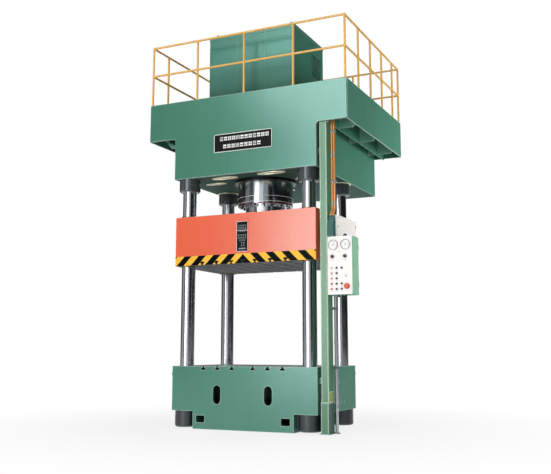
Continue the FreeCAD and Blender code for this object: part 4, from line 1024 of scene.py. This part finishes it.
def buildRailWelds():
    low, high, centre = boxOf("railing_front")
    tube = (high.y - low.y) / 2
    seat = tube * 0.93    # a bead lies this far from the axis of the tube that it stands on
    endX, front, rear = high.x - tube, high.y - tube, boxOf("railing_rear")[1].y - tube
    bays = railing["bays"]
    posts = [(endX * (2 * number / bays - 1), y, "X") for y in (front, rear) for number in range(bays + 1)]
    posts += [(endX, front + railing["rightBay"] * (number + 1), "Y")
              for number in range(railing["rightPosts"])]
    posts += [(-endX, front + railing["leftFirst"] + railing["leftBay"] * number, "Y")
              for number in range(railing["leftPosts"])]
    feet = [(x, y, low.z + 0.002) for x, y, run in posts]
    feet += [(x, y, high.z - tube - seat) for x, y, run in posts if run == "Y" or abs(x) < endX - tube]
    joints = {"X": [], "Y": []}
    for (x, y, run), shift in product(posts, (-seat, seat)):
        joint = (x + shift, y) if run == "X" else (x, y + shift)
        if abs(joint[0]) < endX + 0.001:
            joints[run].append(joint + (low.z + railing["midRail"],))
    beads = [spread(addRing(tube + 0.001, railing["bead"], origin, "Z", 24, 6), feet)]
    for run, way in (("X", "front"), ("Y", "right")):
        ring = addRing(tube + 0.001, railing["bead"], origin, "X", 24, 6)
        beads.append(spread(ring, joints[run], wayTurns[way]))
    finishPiece(beads, "railWelds", yellow, angle=60)


# platform: weld beads on the brackets, screws and seams of the tread plates

# each bead runs on both faces of a bracket, between two points in X and Z
platform = {"ribs": (-0.3, 0.65, 1.6), "ribPlate": 0.012, "bead": 0.006,
            "runs": [((1.236, 4.577), (1.236, 5.181)), ((1.718, 4.652), (1.718, 5.181)),
                     ((1.236, 5.185), (1.718, 5.185))],
            "deck": 5.193, "screwX": (-1.6, -1.31, -1.0, -0.5, 0.0, 0.5, 1.0, 1.31, 1.6),
            "screwY": (-0.72, -0.25, 0.7, 1.24, 1.9), "housing": (0.86, -0.6, 0.7), "seamX": (-1.2, 1.2),
            "seamY": (-0.64, 0.9), "seamWidth": 0.012, "deckWidth": 3.42, "deckDepth": 2.73, "middleY": 0.575}


def buildRibWelds():
    beads = []
    ribs, plates = platform["ribs"], (0, platform["ribPlate"])
    for rib, plate, side, run in product(ribs, plates, (-1, 1), platform["runs"]):
        start, end = [(side * x, rib + plate, z) for x, z in run]
        beads.append(addRod(start, end, platform["bead"]))
    finishPiece(beads, "ribWelds", green, angle=60)


def buildDeckFittings():
    side, front, rear = platform["housing"]
    points = [(x, y, platform["deck"]) for y, x in product(platform["screwY"], platform["screwX"])
              if abs(x) > side or y < front or y > rear]
    finishPiece(addSocketScrews("deck", points, "over"), "deckScrews", zinc)
    level, wide = platform["deck"] + 0.0005, platform["seamWidth"]
    along, across = (wide, platform["deckDepth"], 0.003), (platform["deckWidth"], wide, 0.003)
    seams = [addBox(along, (x, platform["middleY"], level), 0.001, 1) for x in platform["seamX"]]
    seams += [addBox(across, (0, y, level), 0.001, 1) for y in platform["seamY"]]
    finishPiece(seams, "deckSeams", darkSeam)


buildRailWelds()
buildRibWelds()
buildDeckFittings()
print("railing and platform detail ready")


# crown and cylinder: covers under its floor, the tank's hatch, gauge and drain behind, and bright rings on
# the barrel as painted highlights

crown = {"floor": 3.891, "screwInset": 0.02,
         "covers": [(-0.42, -0.62, 0.46, 0.17), (-0.77, -0.27, 0.38, 0.13), (0.42, -0.67, 0.48, 0.17),
                    (0.75, -0.1, 0.34, 0.14), (0.0, 0.72, 0.42, 0.17)],    # centre, width and depth
         "coverThickness": 0.014, "coverRim": 0.035, "washers": [(-1.044, 0.652), (1.044, 0.652)],
         "washerRadius": 0.19, "washerThickness": 0.012}
tank = {"rear": 1.942, "hatch": (0.26, 0.02), "hatchZ": 4.23, "hatchRim": 0.05, "boltCircle": 0.235,
        "bolts": 12, "handle": (0.16, 0.016, 0.02), "handleFoot": (0.016, 0.034, 0.016),
        "handleFeet": (-0.07, 0.07), "gauge": (0.05, 0.014, 0.36), "gaugeX": 0.62, "gaugeZ": 4.24,
        "gaugeRim": 0.012, "sight": (0.024, 0.006, 0.3), "drain": (0.03, 0.03), "drainX": -0.7,
        "drainZ": 3.96}
barrelHighlightRings = {"radius": 0.4505, "levels": (3.6, 3.512), "bead": 0.0032}


def buildCrownCovers():
    floor, inset = crown["floor"], crown["screwInset"]
    covers, points = [], []
    for x, y, width, depth in crown["covers"]:
        cover = putAt(addRound(0.5, 1, origin, "Z", 40, 0), (x, y, floor - 0.006))
        cover.scale = (width, depth, crown["coverThickness"])
        bevelEdges(bakePlace(cover), 0.004)
        covers.append(sinkFace(cover, (0, 0, -1), crown["coverRim"], 0.004))
        points += onOval((x, y, floor - 0.012), width / 2 - inset, depth / 2 - inset, 4, 45)
    for x, y in crown["washers"]:
        place = (x, y, floor - 0.005)
        covers.append(addRound(crown["washerRadius"], crown["washerThickness"], place, "Z", 56, 0.003))
    finishPiece(covers, "crownCovers", coverHighlightCream)
    finishPiece(addSocketScrews("cover", points, "under"), "crownCoverScrews", zinc)


def buildTankFittings():
    rear, z, gaugeX, gaugeZ = tank["rear"], tank["hatchZ"], tank["gaugeX"], tank["gaugeZ"]
    hatch = addRound(*tank["hatch"], (0, rear + 0.008, z), "Y", 48, 0.003)
    sinkFace(hatch, (0, 1, 0), tank["hatchRim"], 0.004)
    handle = addBox(tank["handle"], (0, rear + 0.045, z), 0.006, 3)
    feet = [addBox(tank["handleFoot"], (x, rear + 0.028, z), 0.003) for x in tank["handleFeet"]]
    finishPiece([hatch, handle] + feet, "tankHatch", green)
    turns = [2 * pi * number / tank["bolts"] for number in range(tank["bolts"])]
    points = [onDial((0, rear + 0.018, z), tank["boltCircle"], turn) for turn in turns]
    finishPiece(addHexBolts("hatch", points, "rear"), "tankHatchBolts", zinc)
    plate = addBox(tank["gauge"], (gaugeX, rear + 0.006, gaugeZ), 0.006, 3)
    sinkFace(plate, (0, 1, 0), tank["gaugeRim"], 0.005)
    plug = addRound(*tank["drain"], (tank["drainX"], rear + 0.014, tank["drainZ"]), "Y", 6, 0.003)
    finishPiece([plate, plug], "tankGauge", zinc)
    sight = addBox(tank["sight"], (gaugeX, rear + 0.0115, gaugeZ), 0.002)
    finishPiece(sight, "tankSight", oilGlass)


def buildBarrelRings():
    # two bright rings: painted highlights on the barrel
    radius, bead = barrelHighlightRings["radius"], barrelHighlightRings["bead"]
    rings = [addRing(radius, bead, (0, 0, z), "Z", 96, 6) for z in barrelHighlightRings["levels"]]
    finishPiece(rings, "barrelHighlightRings", grooveHighlight, angle=60)


# slider: wiper rings and screws on the bush flanges, plugs on its top

slider = {"under": 2.48, "over": 3.283, "top": 3.271, "columns": (1.044, 0.652), "wiper": (0.1135, 0.0045),
          "screwCircle": 0.129, "screws": 8, "screwsFrom": 22, "plugs": (0.62, 0.55), "plug": (0.034, 0.016),
          "plugRim": 0.014, "plugFoot": (0.046, 0.01)}


def buildSliderFittings():
    under, over, columns = slider["under"], slider["over"], fourWays(*slider["columns"])
    wiper = addRing(*slider["wiper"], origin, "Z", 48, 8)
    points = [(x, y, z) for x, y in columns for z in (under, over)]
    finishPiece(spread(wiper, points), "columnWipers", blackPlastic, "slider", 60)
    circle, count, first = slider["screwCircle"], slider["screws"], slider["screwsFrom"]
    for level, way in ((under, "under"), (over, "over")):
        points = [point for x, y in columns for point in onOval((x, y, level), circle, circle, count, first)]
        screws = addSocketScrews("bush", points, way)
        finishPiece(screws, "bushScrews" + way.capitalize(), blackSteel, "slider")
    plug = addRound(*slider["plug"], (0, 0, 0.014), "Z", 6, 0.003)
    sinkFace(plug, (0, 0, 1), slider["plugRim"], 0.008)
    foot = addRound(*slider["plugFoot"], (0, 0, 0.004), "Z", 32, 0.002)
    points = [(x, y, slider["top"]) for x, y in fourWays(*slider["plugs"])]
    finishPiece(spread(joinAll([plug, foot]), points), "sliderPlugs", blackSteel, "slider", 50)


buildCrownCovers()
buildTankFittings()
buildBarrelRings()
buildSliderFittings()
print("crown, cylinder and slider detail ready")


# machinery housing: roof trim, seams, louvres at the sides, doors at the rear, lifting eyes

housing = {"trim": 0.005, "skirtHeight": 0.04, "roofHeight": 0.03, "seamX": 0.256, "seamWidth": 0.03,
           "louvre": (0.36, 0.042), "louvreY": 0.34, "louvreZ": 5.86, "sideLouvres": 9, "doorLouvres": 6,
           "door": (0.62, 0.012, 0.92), "doorX": 0.33, "doorZ": 5.72, "doorRim": 0.05, "doorLouvreZ": 5.98,
           "knuckle": (0.011, 0.11), "leaf": (0.05, 0.006, 0.08), "hingeX": 0.648, "hingeZ": (5.4, 6.04),
           "grip": (0.024, 0.014, 0.16), "gripFoot": (0.016, 0.04, 0.018), "gripX": 0.05, "gripZ": 5.7,
           "gripReach": 0.06, "eye": (0.03, 0.008), "eyeFoot": (0.022, 0.01), "eyeStem": (0.01, 0.016),
           "eyeInset": 0.1}


def addLouvres(count, centre, way):    # pressed slots, each a sloped hood
    width, pitch = housing["louvre"]
    hood = addBox((width, 0.02, pitch * 0.62), (0, -0.006, 0), 0.003)
    pickFaces(hood, (0, 0, -1))
    bpy.ops.transform.translate(value=(0, -0.012, 0))
    bpy.ops.object.mode_set(mode="OBJECT")
    x, y, z = centre
    points = [(x, y, z + (number - (count - 1) / 2) * pitch) for number in range(count)]
    return spread(hood, points, wayTurns[way])


def buildHousingDetail():
    low, high, middle = boxOf("machinery_housing")
    trim, doorX, rear = housing["trim"], housing["doorX"], high.y
    size = (high.x - low.x + 2 * trim, high.y - low.y + 2 * trim)
    skirt = housing["skirtHeight"]
    seams = [addCurb(*size, trim, skirt, (middle.x, middle.y, low.z + skirt), 0.003)]
    seam = (housing["seamWidth"], 0.004, high.z - low.z - 2 * skirt)
    for x in (-housing["seamX"], housing["seamX"]):
        seams.append(addBox(seam, (x, low.y - 0.001, middle.z), 0.0015, 1))
    finishPiece(seams, "housingSeams", housingPaint)
    roof = addCurb(*size, trim + 0.004, housing["roofHeight"], (middle.x, middle.y, high.z - 0.026), 0.003)
    finishPiece(roof, "housingTrim", housingPaint)
    louvres = [addLouvres(housing["sideLouvres"], (x, housing["louvreY"], housing["louvreZ"]), way)
               for x, way in ((-high.x, "left"), (high.x, "right"))]
    finishPiece(louvres, "housingLouvres", housingPaint)
    doors, points, grips = [], [], []
    for side in (-1, 1):
        door = addBox(housing["door"], (side * doorX, rear + 0.004, housing["doorZ"]), 0.004)
        doors.append(sinkFace(door, (0, 1, 0), housing["doorRim"], 0.004))
        slots = (side * doorX, rear + 0.006, housing["doorLouvreZ"])
        doors.append(addLouvres(housing["doorLouvres"], slots, "rear"))
        points += [(side * housing["hingeX"], rear + 0.01, z) for z in housing["hingeZ"]]
        gripX, gripZ = side * housing["gripX"], housing["gripZ"]
        grips.append(addBox(housing["grip"], (gripX, rear + 0.045, gripZ), 0.006, 3))
        for z in (gripZ - housing["gripReach"], gripZ + housing["gripReach"]):
            grips.append(addBox(housing["gripFoot"], (gripX, rear + 0.026, z), 0.003))
    finishPiece(doors, "housingDoors", housingPaint)
    knuckle = addRound(*housing["knuckle"], origin, "Z", 16, 0.002)
    hinge = joinAll([knuckle, addBox(housing["leaf"], (0, -0.004, 0), 0.002)])
    finishPiece([spread(hinge, points)] + grips, "housingHinges", blackSteel)
    eye = joinAll([addRing(*housing["eye"], (0, 0, 0.045), "Y", 28),
                   addRound(*housing["eyeFoot"], (0, 0, 0.005), "Z", 20, 0.002),
                   addRound(*housing["eyeStem"], (0, 0, 0.014), "Z", 14, 0.002)])
    inset = housing["eyeInset"]
    points = product((low.x + inset, high.x - inset), (low.y + inset, high.y - inset), [high.z])
    finishPiece(spread(eye, points), "housingEyes", zinc, angle=50)


# bed: seam under the table, cover plates at the sides, screws

bed = {"side": 1.22, "seam": (2.444, 1.604, 0.005, 0.044), "seamZ": 0.84, "cover": (0.008, 0.52, 0.34),
       "coverZ": 0.55, "coverRim": 0.03,
       "coverScrews": ((-0.24, 0.0, 0.24), (0.4, 0.7)),
       "tableScrews": ((-0.72, -0.36, 0.0, 0.36, 0.72), [0.878])}


def buildBedDetail():
    seam = addCurb(*bed["seam"], (0, 0, bed["seamZ"]), 0.0008)
    finishPiece(seam, "tableSeam", filler)
    plates = []
    for side, way in ((-1, "left"), (1, "right")):
        plate = addBox(bed["cover"], (side * (bed["side"] + 0.002), 0, bed["coverZ"]), 0.004)
        plates.append(sinkFace(plate, (side, 0, 0), bed["coverRim"], 0.002))
        points = list(product([side * (bed["side"] + 0.006)], *bed["coverScrews"]))
        points += product([side * bed["side"]], *bed["tableScrews"])
        finishPiece(addSocketScrews("bed", points, way), "bedScrews." + way, zinc)
    finishPiece(plates, "bedSideCovers", dullGreen)


# duct post: cover screws, foot flange and its bolts, rim on the base

duct = {"cover": (1.388, -0.689, 0.52), "coverScrews": (0.07, 0.055), "rim": 0.012, "rimZ": 0.436,
        "footWider": 0.05, "footDeeper": 0.04, "footHeight": 0.01, "boltOut": 0.013, "boltInset": 0.03}


def buildDuctDetail():
    x, y, z = duct["cover"]
    points = [(x, y + alongY, z + alongZ) for alongY, alongZ in fourWays(*duct["coverScrews"])]
    finishPiece(addSocketScrews("duct", points, "right"), "ductCoverScrews", zinc)
    low, high, centre = boxOf("duct_base")
    width, depth = high.x - low.x, high.y - low.y
    height, out, inset = duct["footHeight"], duct["boltOut"], duct["boltInset"]
    size = (width + duct["footWider"], depth + duct["footDeeper"], height)
    finishPiece(addBox(size, (centre.x, centre.y, height / 2), 0.003), "ductFoot", green)
    points = product((low.x - out, high.x + out), (low.y + inset, high.y - inset), [height])
    finishPiece(addHexBolts("duct", points, "over"), "ductFootBolts", zinc)
    rim = addBox((width + 0.004, depth + 0.004, duct["rim"]), (centre.x, centre.y, duct["rimZ"]), 0.004)
    finishPiece(rim, "ductBaseRim", green)


# control box: trim round the panel, side door with hinges and lock, glands below

controlBox = {"trim": 0.007, "screwInset": 0.017, "doorDepth": 0.22, "doorRim": 0.016, "lock": (0.014, 0.008),
              "lockBar": (0.01, 0.006, 0.03), "lockZ": 2.4, "hinge": (0.007, 0.07), "hingeZ": (2.12, 2.66),
              "glands": [(1.5, -0.64, 0.017), (1.56, -0.64, 0.017), (1.62, -0.66, 0.021)]}


def buildControlBox():
    low, high, centre = boxOf("control_panel")
    width, height, inset = high.x - low.x, high.z - low.z, controlBox["screwInset"]
    middle = (centre.x, low.y, centre.z)
    trim = addFrame(width - 0.004, height - 0.004, controlBox["trim"], 0.002, middle, 0.0006)
    finishPiece(trim, "panelTrim", cream)
    points = product((low.x + inset, high.x - inset), [low.y - 0.0005],
                     (low.z + inset, centre.z - 0.03, high.z - inset))
    finishPiece(addSocketScrews("panel", points), "panelScrews", satin)
    low, high, centre = boxOf("control_box")
    size = (0.006, controlBox["doorDepth"], height - 0.09)
    door = addBox(size, (high.x + 0.001, centre.y, centre.z), 0.003)
    sinkFace(door, (1, 0, 0), controlBox["doorRim"], 0.0015)
    finishPiece(door, "boxSideDoor", boxGreen)
    lockY, lockZ = low.y + 0.062, controlBox["lockZ"]
    lock = [addRound(*controlBox["lock"], (high.x + 0.006, lockY, lockZ), "X", 24, 0.0015),
            addBox(controlBox["lockBar"], (high.x + 0.011, lockY, lockZ), 0.0015)]
    for z in controlBox["hingeZ"]:
        lock.append(addRound(*controlBox["hinge"], (high.x + 0.005, high.y - 0.026, z), "Z", 16))
    finishPiece(lock, "boxLock", zinc)
    glands = []
    for x, y, radius in controlBox["glands"]:
        glands.append(addRound(radius, 0.012, (x, y, low.z - 0.006), "Z", 6, 0.0015))
        glands.append(addRound(radius * 0.78, 0.018, (x, y, low.z - 0.021), "Z", 20, 0.003))
    finishPiece(glands, "boxGlands", blackPlastic)


buildHousingDetail()
buildBedDetail()
buildDuctDetail()
buildControlBox()
print("housing, bed, duct and box detail ready")


# gauges: white dials with ticks, a red arc and figures, and a dark ring in the rim

gauges = {"centres": (1.481, 1.67), "z": 2.689, "floor": -0.802, "dial": (0.0665, 0.0012),
          "first": 225, "sweep": 270, "steps": 25, "figures": ("0", "5", "10", "15", "20", "25"),
          "figureReach": 0.0445, "figureSize": 0.011, "figureDepth": 0.0008,
          "long": (0.01, 0.0004, 0.0016), "longReach": 0.057, "short": (0.005, 0.0004, 0.0009),
          "shortReach": 0.0595, "arc": (0.0035, 0.0004, 0.0075), "arcReach": 0.0515, "arcFrom": 0.8,
          "arcPitch": 0.0265, "arcParts": 8, "ring": (0.0692, 0.0022)}


def addFigures(words, centre):    # only for the numbers on a dial
    clearSelection()
    bpy.ops.object.text_add(location=origin)
    text = bpy.context.object.data
    text.body = words
    text.size = gauges["figureSize"]
    text.align_x = text.align_y = "CENTER"
    text.extrude = gauges["figureDepth"] / 2
    text.resolution_u = 3
    bpy.ops.object.convert(target="MESH")
    return bakePlace(putAt(bpy.context.object, centre, axisTurns["Y"]))


def gaugeTurn(share):    # the angle on the dial at a share of its scale
    return radians(gauges["first"] - gauges["sweep"] * share)


def buildGaugeDials():
    dials, marks, arcs, rings = [], [], [], []
    floor, z = gauges["floor"], gauges["z"]
    for x in gauges["centres"]:
        dial = addRound(*gauges["dial"], (x, floor - 0.0004, z), "Y", 64, 0.0003, 1)
        dials.append(sinkFace(dial, (0, -1, 0), 0.003, 0.0003))
        face = (x, floor - 0.0014, z)
        for step in range(gauges["steps"] + 1):
            turn, kind = gaugeTurn(step / gauges["steps"]), "short" if step % 5 else "long"
            marks.append(addTick(gauges[kind], face, gauges[kind + "Reach"], turn))
            if kind == "long":
                place = onDial(face, gauges["figureReach"], turn)
                marks.append(addFigures(gauges["figures"][step // 5], place))
        for number in range(gauges["arcParts"]):
            turn = gaugeTurn(gauges["arcFrom"] + number * gauges["arcPitch"])
            arcs.append(addTick(gauges["arc"], (x, floor - 0.0012, z), gauges["arcReach"], turn))
        rings.append(addRing(*gauges["ring"], (x, floor - 0.006, z), "Y", 64))
    finishPiece(dials, "gaugeDials", white)
    finishPiece(marks, "gaugeMarks", black)
    finishPiece(arcs, "gaugeArcs", redPlastic)
    finishPiece(rings, "gaugeInnerRings", blackSteel, angle=60)


# panel: scale plates and pointers at the knobs, a ring on the stop button, plain strips under the rows

panelParts = {"face": -0.798, "columns": (1.452, 1.53, 1.608), "rows": (2.352, 2.276, 2.2, 2.124, 2.048),
              "empty": [(2, 1), (2, 2)], "stripDrop": 0.0335, "topStrip": (1.575, 2.59),
              "knobs": (1.466, 1.66), "knobZ": 2.52, "knobFront": -0.8232, "knobStripZ": 2.466,
              "knobStrip": (0.05, 0.0012, 0.011), "topStripSize": (0.06, 0.0012, 0.012),
              "strip": (0.034, 0.0012, 0.0095), "scale": (0.037, 0.0014),
              "pointer": (0.0028, 0.0012, 0.015), "pointerUp": 0.011, "stopRing": (0.022, 0.0012),
              "scaleTicks": 11, "scalePitch": 27, "tick": (0.006, 0.0005, 0.0013), "tickReach": 0.0305}


def buildPanelParts():
    face, knobZ = panelParts["face"], panelParts["knobZ"]
    scales, marks, strips = [], [], []
    for x in panelParts["knobs"]:
        scales.append(addRound(*panelParts["scale"], (x, face - 0.0007, knobZ), "Y", 48, 0.0004, 1))
        for step in range(panelParts["scaleTicks"]):
            turn, centre = radians(225 - panelParts["scalePitch"] * step), (x, face - 0.0016, knobZ)
            marks.append(addTick(panelParts["tick"], centre, panelParts["tickReach"], turn))
        place = (x, face - 0.0006, panelParts["knobStripZ"])
        strips.append(addBox(panelParts["knobStrip"], place, 0.0004, 1))
    finishPiece(scales, "knobScales", labelPlastic)
    finishPiece(marks, "knobMarks", black)
    for (column, x), (row, z) in product(enumerate(panelParts["columns"]), enumerate(panelParts["rows"])):
        if (column, row) not in panelParts["empty"]:
            place = (x, face - 0.0006, z - panelParts["stripDrop"])
            strips.append(addBox(panelParts["strip"], place, 0.0004, 1))
    x, z = panelParts["topStrip"]
    strips.append(addBox(panelParts["topStripSize"], (x, face - 0.0006, z), 0.0004, 1))
    finishPiece(strips, "panelStrips", labelPlastic)


def buildPointers():    # on the knobs, and the ring on the stop button
    for x, side in zip(panelParts["knobs"], ("left", "right")):
        place = (x, panelParts["knobFront"], panelParts["knobZ"] + panelParts["pointerUp"])
        bar = addBox(panelParts["pointer"], place, 0.0005, 1)
        finishPiece(bar, "knobPointer." + side, white, "knob_" + side)
    low, high, centre = boxOf("emergency_stop")
    ring = addRing(*panelParts["stopRing"], (centre.x, low.y - 0.0002, centre.z), "Y", 40, 6)
    finishPiece(ring, "stopRing", white, "stop_button", 60)


# cabinet and junction box behind the panel

cabinet = {"hinge": (0.007, 0.05), "hingeZ": (2.89, 3.07), "lock": (0.013, 0.008), "doorRim": 0.02,
           "faceRim": 0.01, "cover": (0.085, 0.005, 0.23), "coverRim": 0.009, "coverX": 1.4345,
           "coverZ": 2.9365, "coverScrews": (0.036, 0.108)}


def buildCabinetDetail():
    low, high, centre = boxOf("terminal_cabinet")
    width, depth, height = high - low
    door = addBox((0.006, depth - 0.05, height - 0.05), (high.x + 0.001, centre.y, centre.z), 0.003)
    roof = addBox((width + 0.02, depth + 0.02, 0.01), (centre.x, centre.y, high.z + 0.003), 0.003)
    face = addBox((width - 0.02, 0.005, height - 0.06), (centre.x, low.y - 0.001, centre.z), 0.002)
    sinkFace(door, (1, 0, 0), cabinet["doorRim"], 0.0015)
    sinkFace(face, (0, -1, 0), cabinet["faceRim"], 0.001)
    finishPiece([door, roof, face], "cabinetDoor", cream)
    lock = addRound(*cabinet["lock"], (high.x + 0.007, low.y + 0.06, centre.z), "X", 24, 0.0015)
    fittings = [sinkFace(lock, (1, 0, 0), 0.005, 0.003)]
    for z in cabinet["hingeZ"]:
        fittings.append(addRound(*cabinet["hinge"], (high.x + 0.006, high.y - 0.03, z), "Z", 14))
    finishPiece(fittings, "cabinetHinges", zinc)
    front, x, z = boxOf("junction_box")[0].y, cabinet["coverX"], cabinet["coverZ"]
    cover = addBox(cabinet["cover"], (x, front - 0.001, z), 0.002)
    sinkFace(cover, (0, -1, 0), cabinet["coverRim"], 0.001)
    finishPiece(cover, "junctionCover", teal)
    points = [(x + offX, front - 0.0035, z + offZ) for offX, offZ in fourWays(*cabinet["coverScrews"])]
    finishPiece(addSocketScrews("junction", points), "junctionScrews", zinc)


# pipes and conduit: union nuts, clamp screws, couplings and the conduit's foot

pipes = {"left": 1.431, "right": 1.469, "y": -0.68, "nutZ": (3.3, 4.05, 4.93), "rightHigher": 0.045,
         "nut": (0.0235, 0.026), "nutCollar": (0.0205, 0.012), "nutCollarZ": 0.018, "clamp": (1.45, -0.7035),
         "clampZ": (3.64, 4.4)}
conduit = {"axis": (1.422, -0.57), "coupling": (0.0285, 0.06), "couplingZ": (0.36, 1.3),
           "couplingRing": (0.0285, 0.0022), "ringZ": 0.024, "foot": (0.052, 0.008),
           "footNut": (0.034, 0.016), "footNutZ": 0.015, "lockNut": (0.034, 0.01), "lockZ": 1.9615}


def buildPipeDetail():
    parts = [addRound(*pipes["nut"], origin, "Z", 6, 0.002)]
    for z in (pipes["nutCollarZ"], -pipes["nutCollarZ"]):
        parts.append(addRound(*pipes["nutCollar"], (0, 0, z), "Z", 24, 0.0015))
    points = [(pipes["left"], pipes["y"], z) for z in pipes["nutZ"]]
    points += [(pipes["right"], pipes["y"], z + pipes["rightHigher"]) for z in pipes["nutZ"]]
    finishPiece(spread(joinAll(parts), points), "pipeUnions", zinc)
    points = [pipes["clamp"] + (z,) for z in pipes["clampZ"]]
    finishPiece(addHexBolts("clamp", points), "clampBolts", zinc)


def buildConduitDetail():
    axis, parts = conduit["axis"], [addRound(*conduit["coupling"], origin, "Z", 28, 0.003)]
    for z in (conduit["ringZ"], -conduit["ringZ"]):
        parts.append(addRing(*conduit["couplingRing"], (0, 0, z), "Z", 28, 6))
    points = [axis + (z,) for z in conduit["couplingZ"]]
    finishPiece(spread(joinAll(parts), points), "conduitCouplings", zinc)
    foot = [addRound(*conduit["foot"], axis + (0.004,), "Z", 32, 0.002),
            addRound(*conduit["footNut"], axis + (conduit["footNutZ"],), "Z", 6, 0.003),
            addRound(*conduit["lockNut"], axis + (conduit["lockZ"],), "Z", 6, 0.002)]
    finishPiece(foot, "conduitFoot", zinc)


buildGaugeDials()
buildPanelParts()
buildPointers()
buildCabinetDetail()
buildPipeDetail()
buildConduitDetail()
print("panel, cabinet and pipe detail ready")
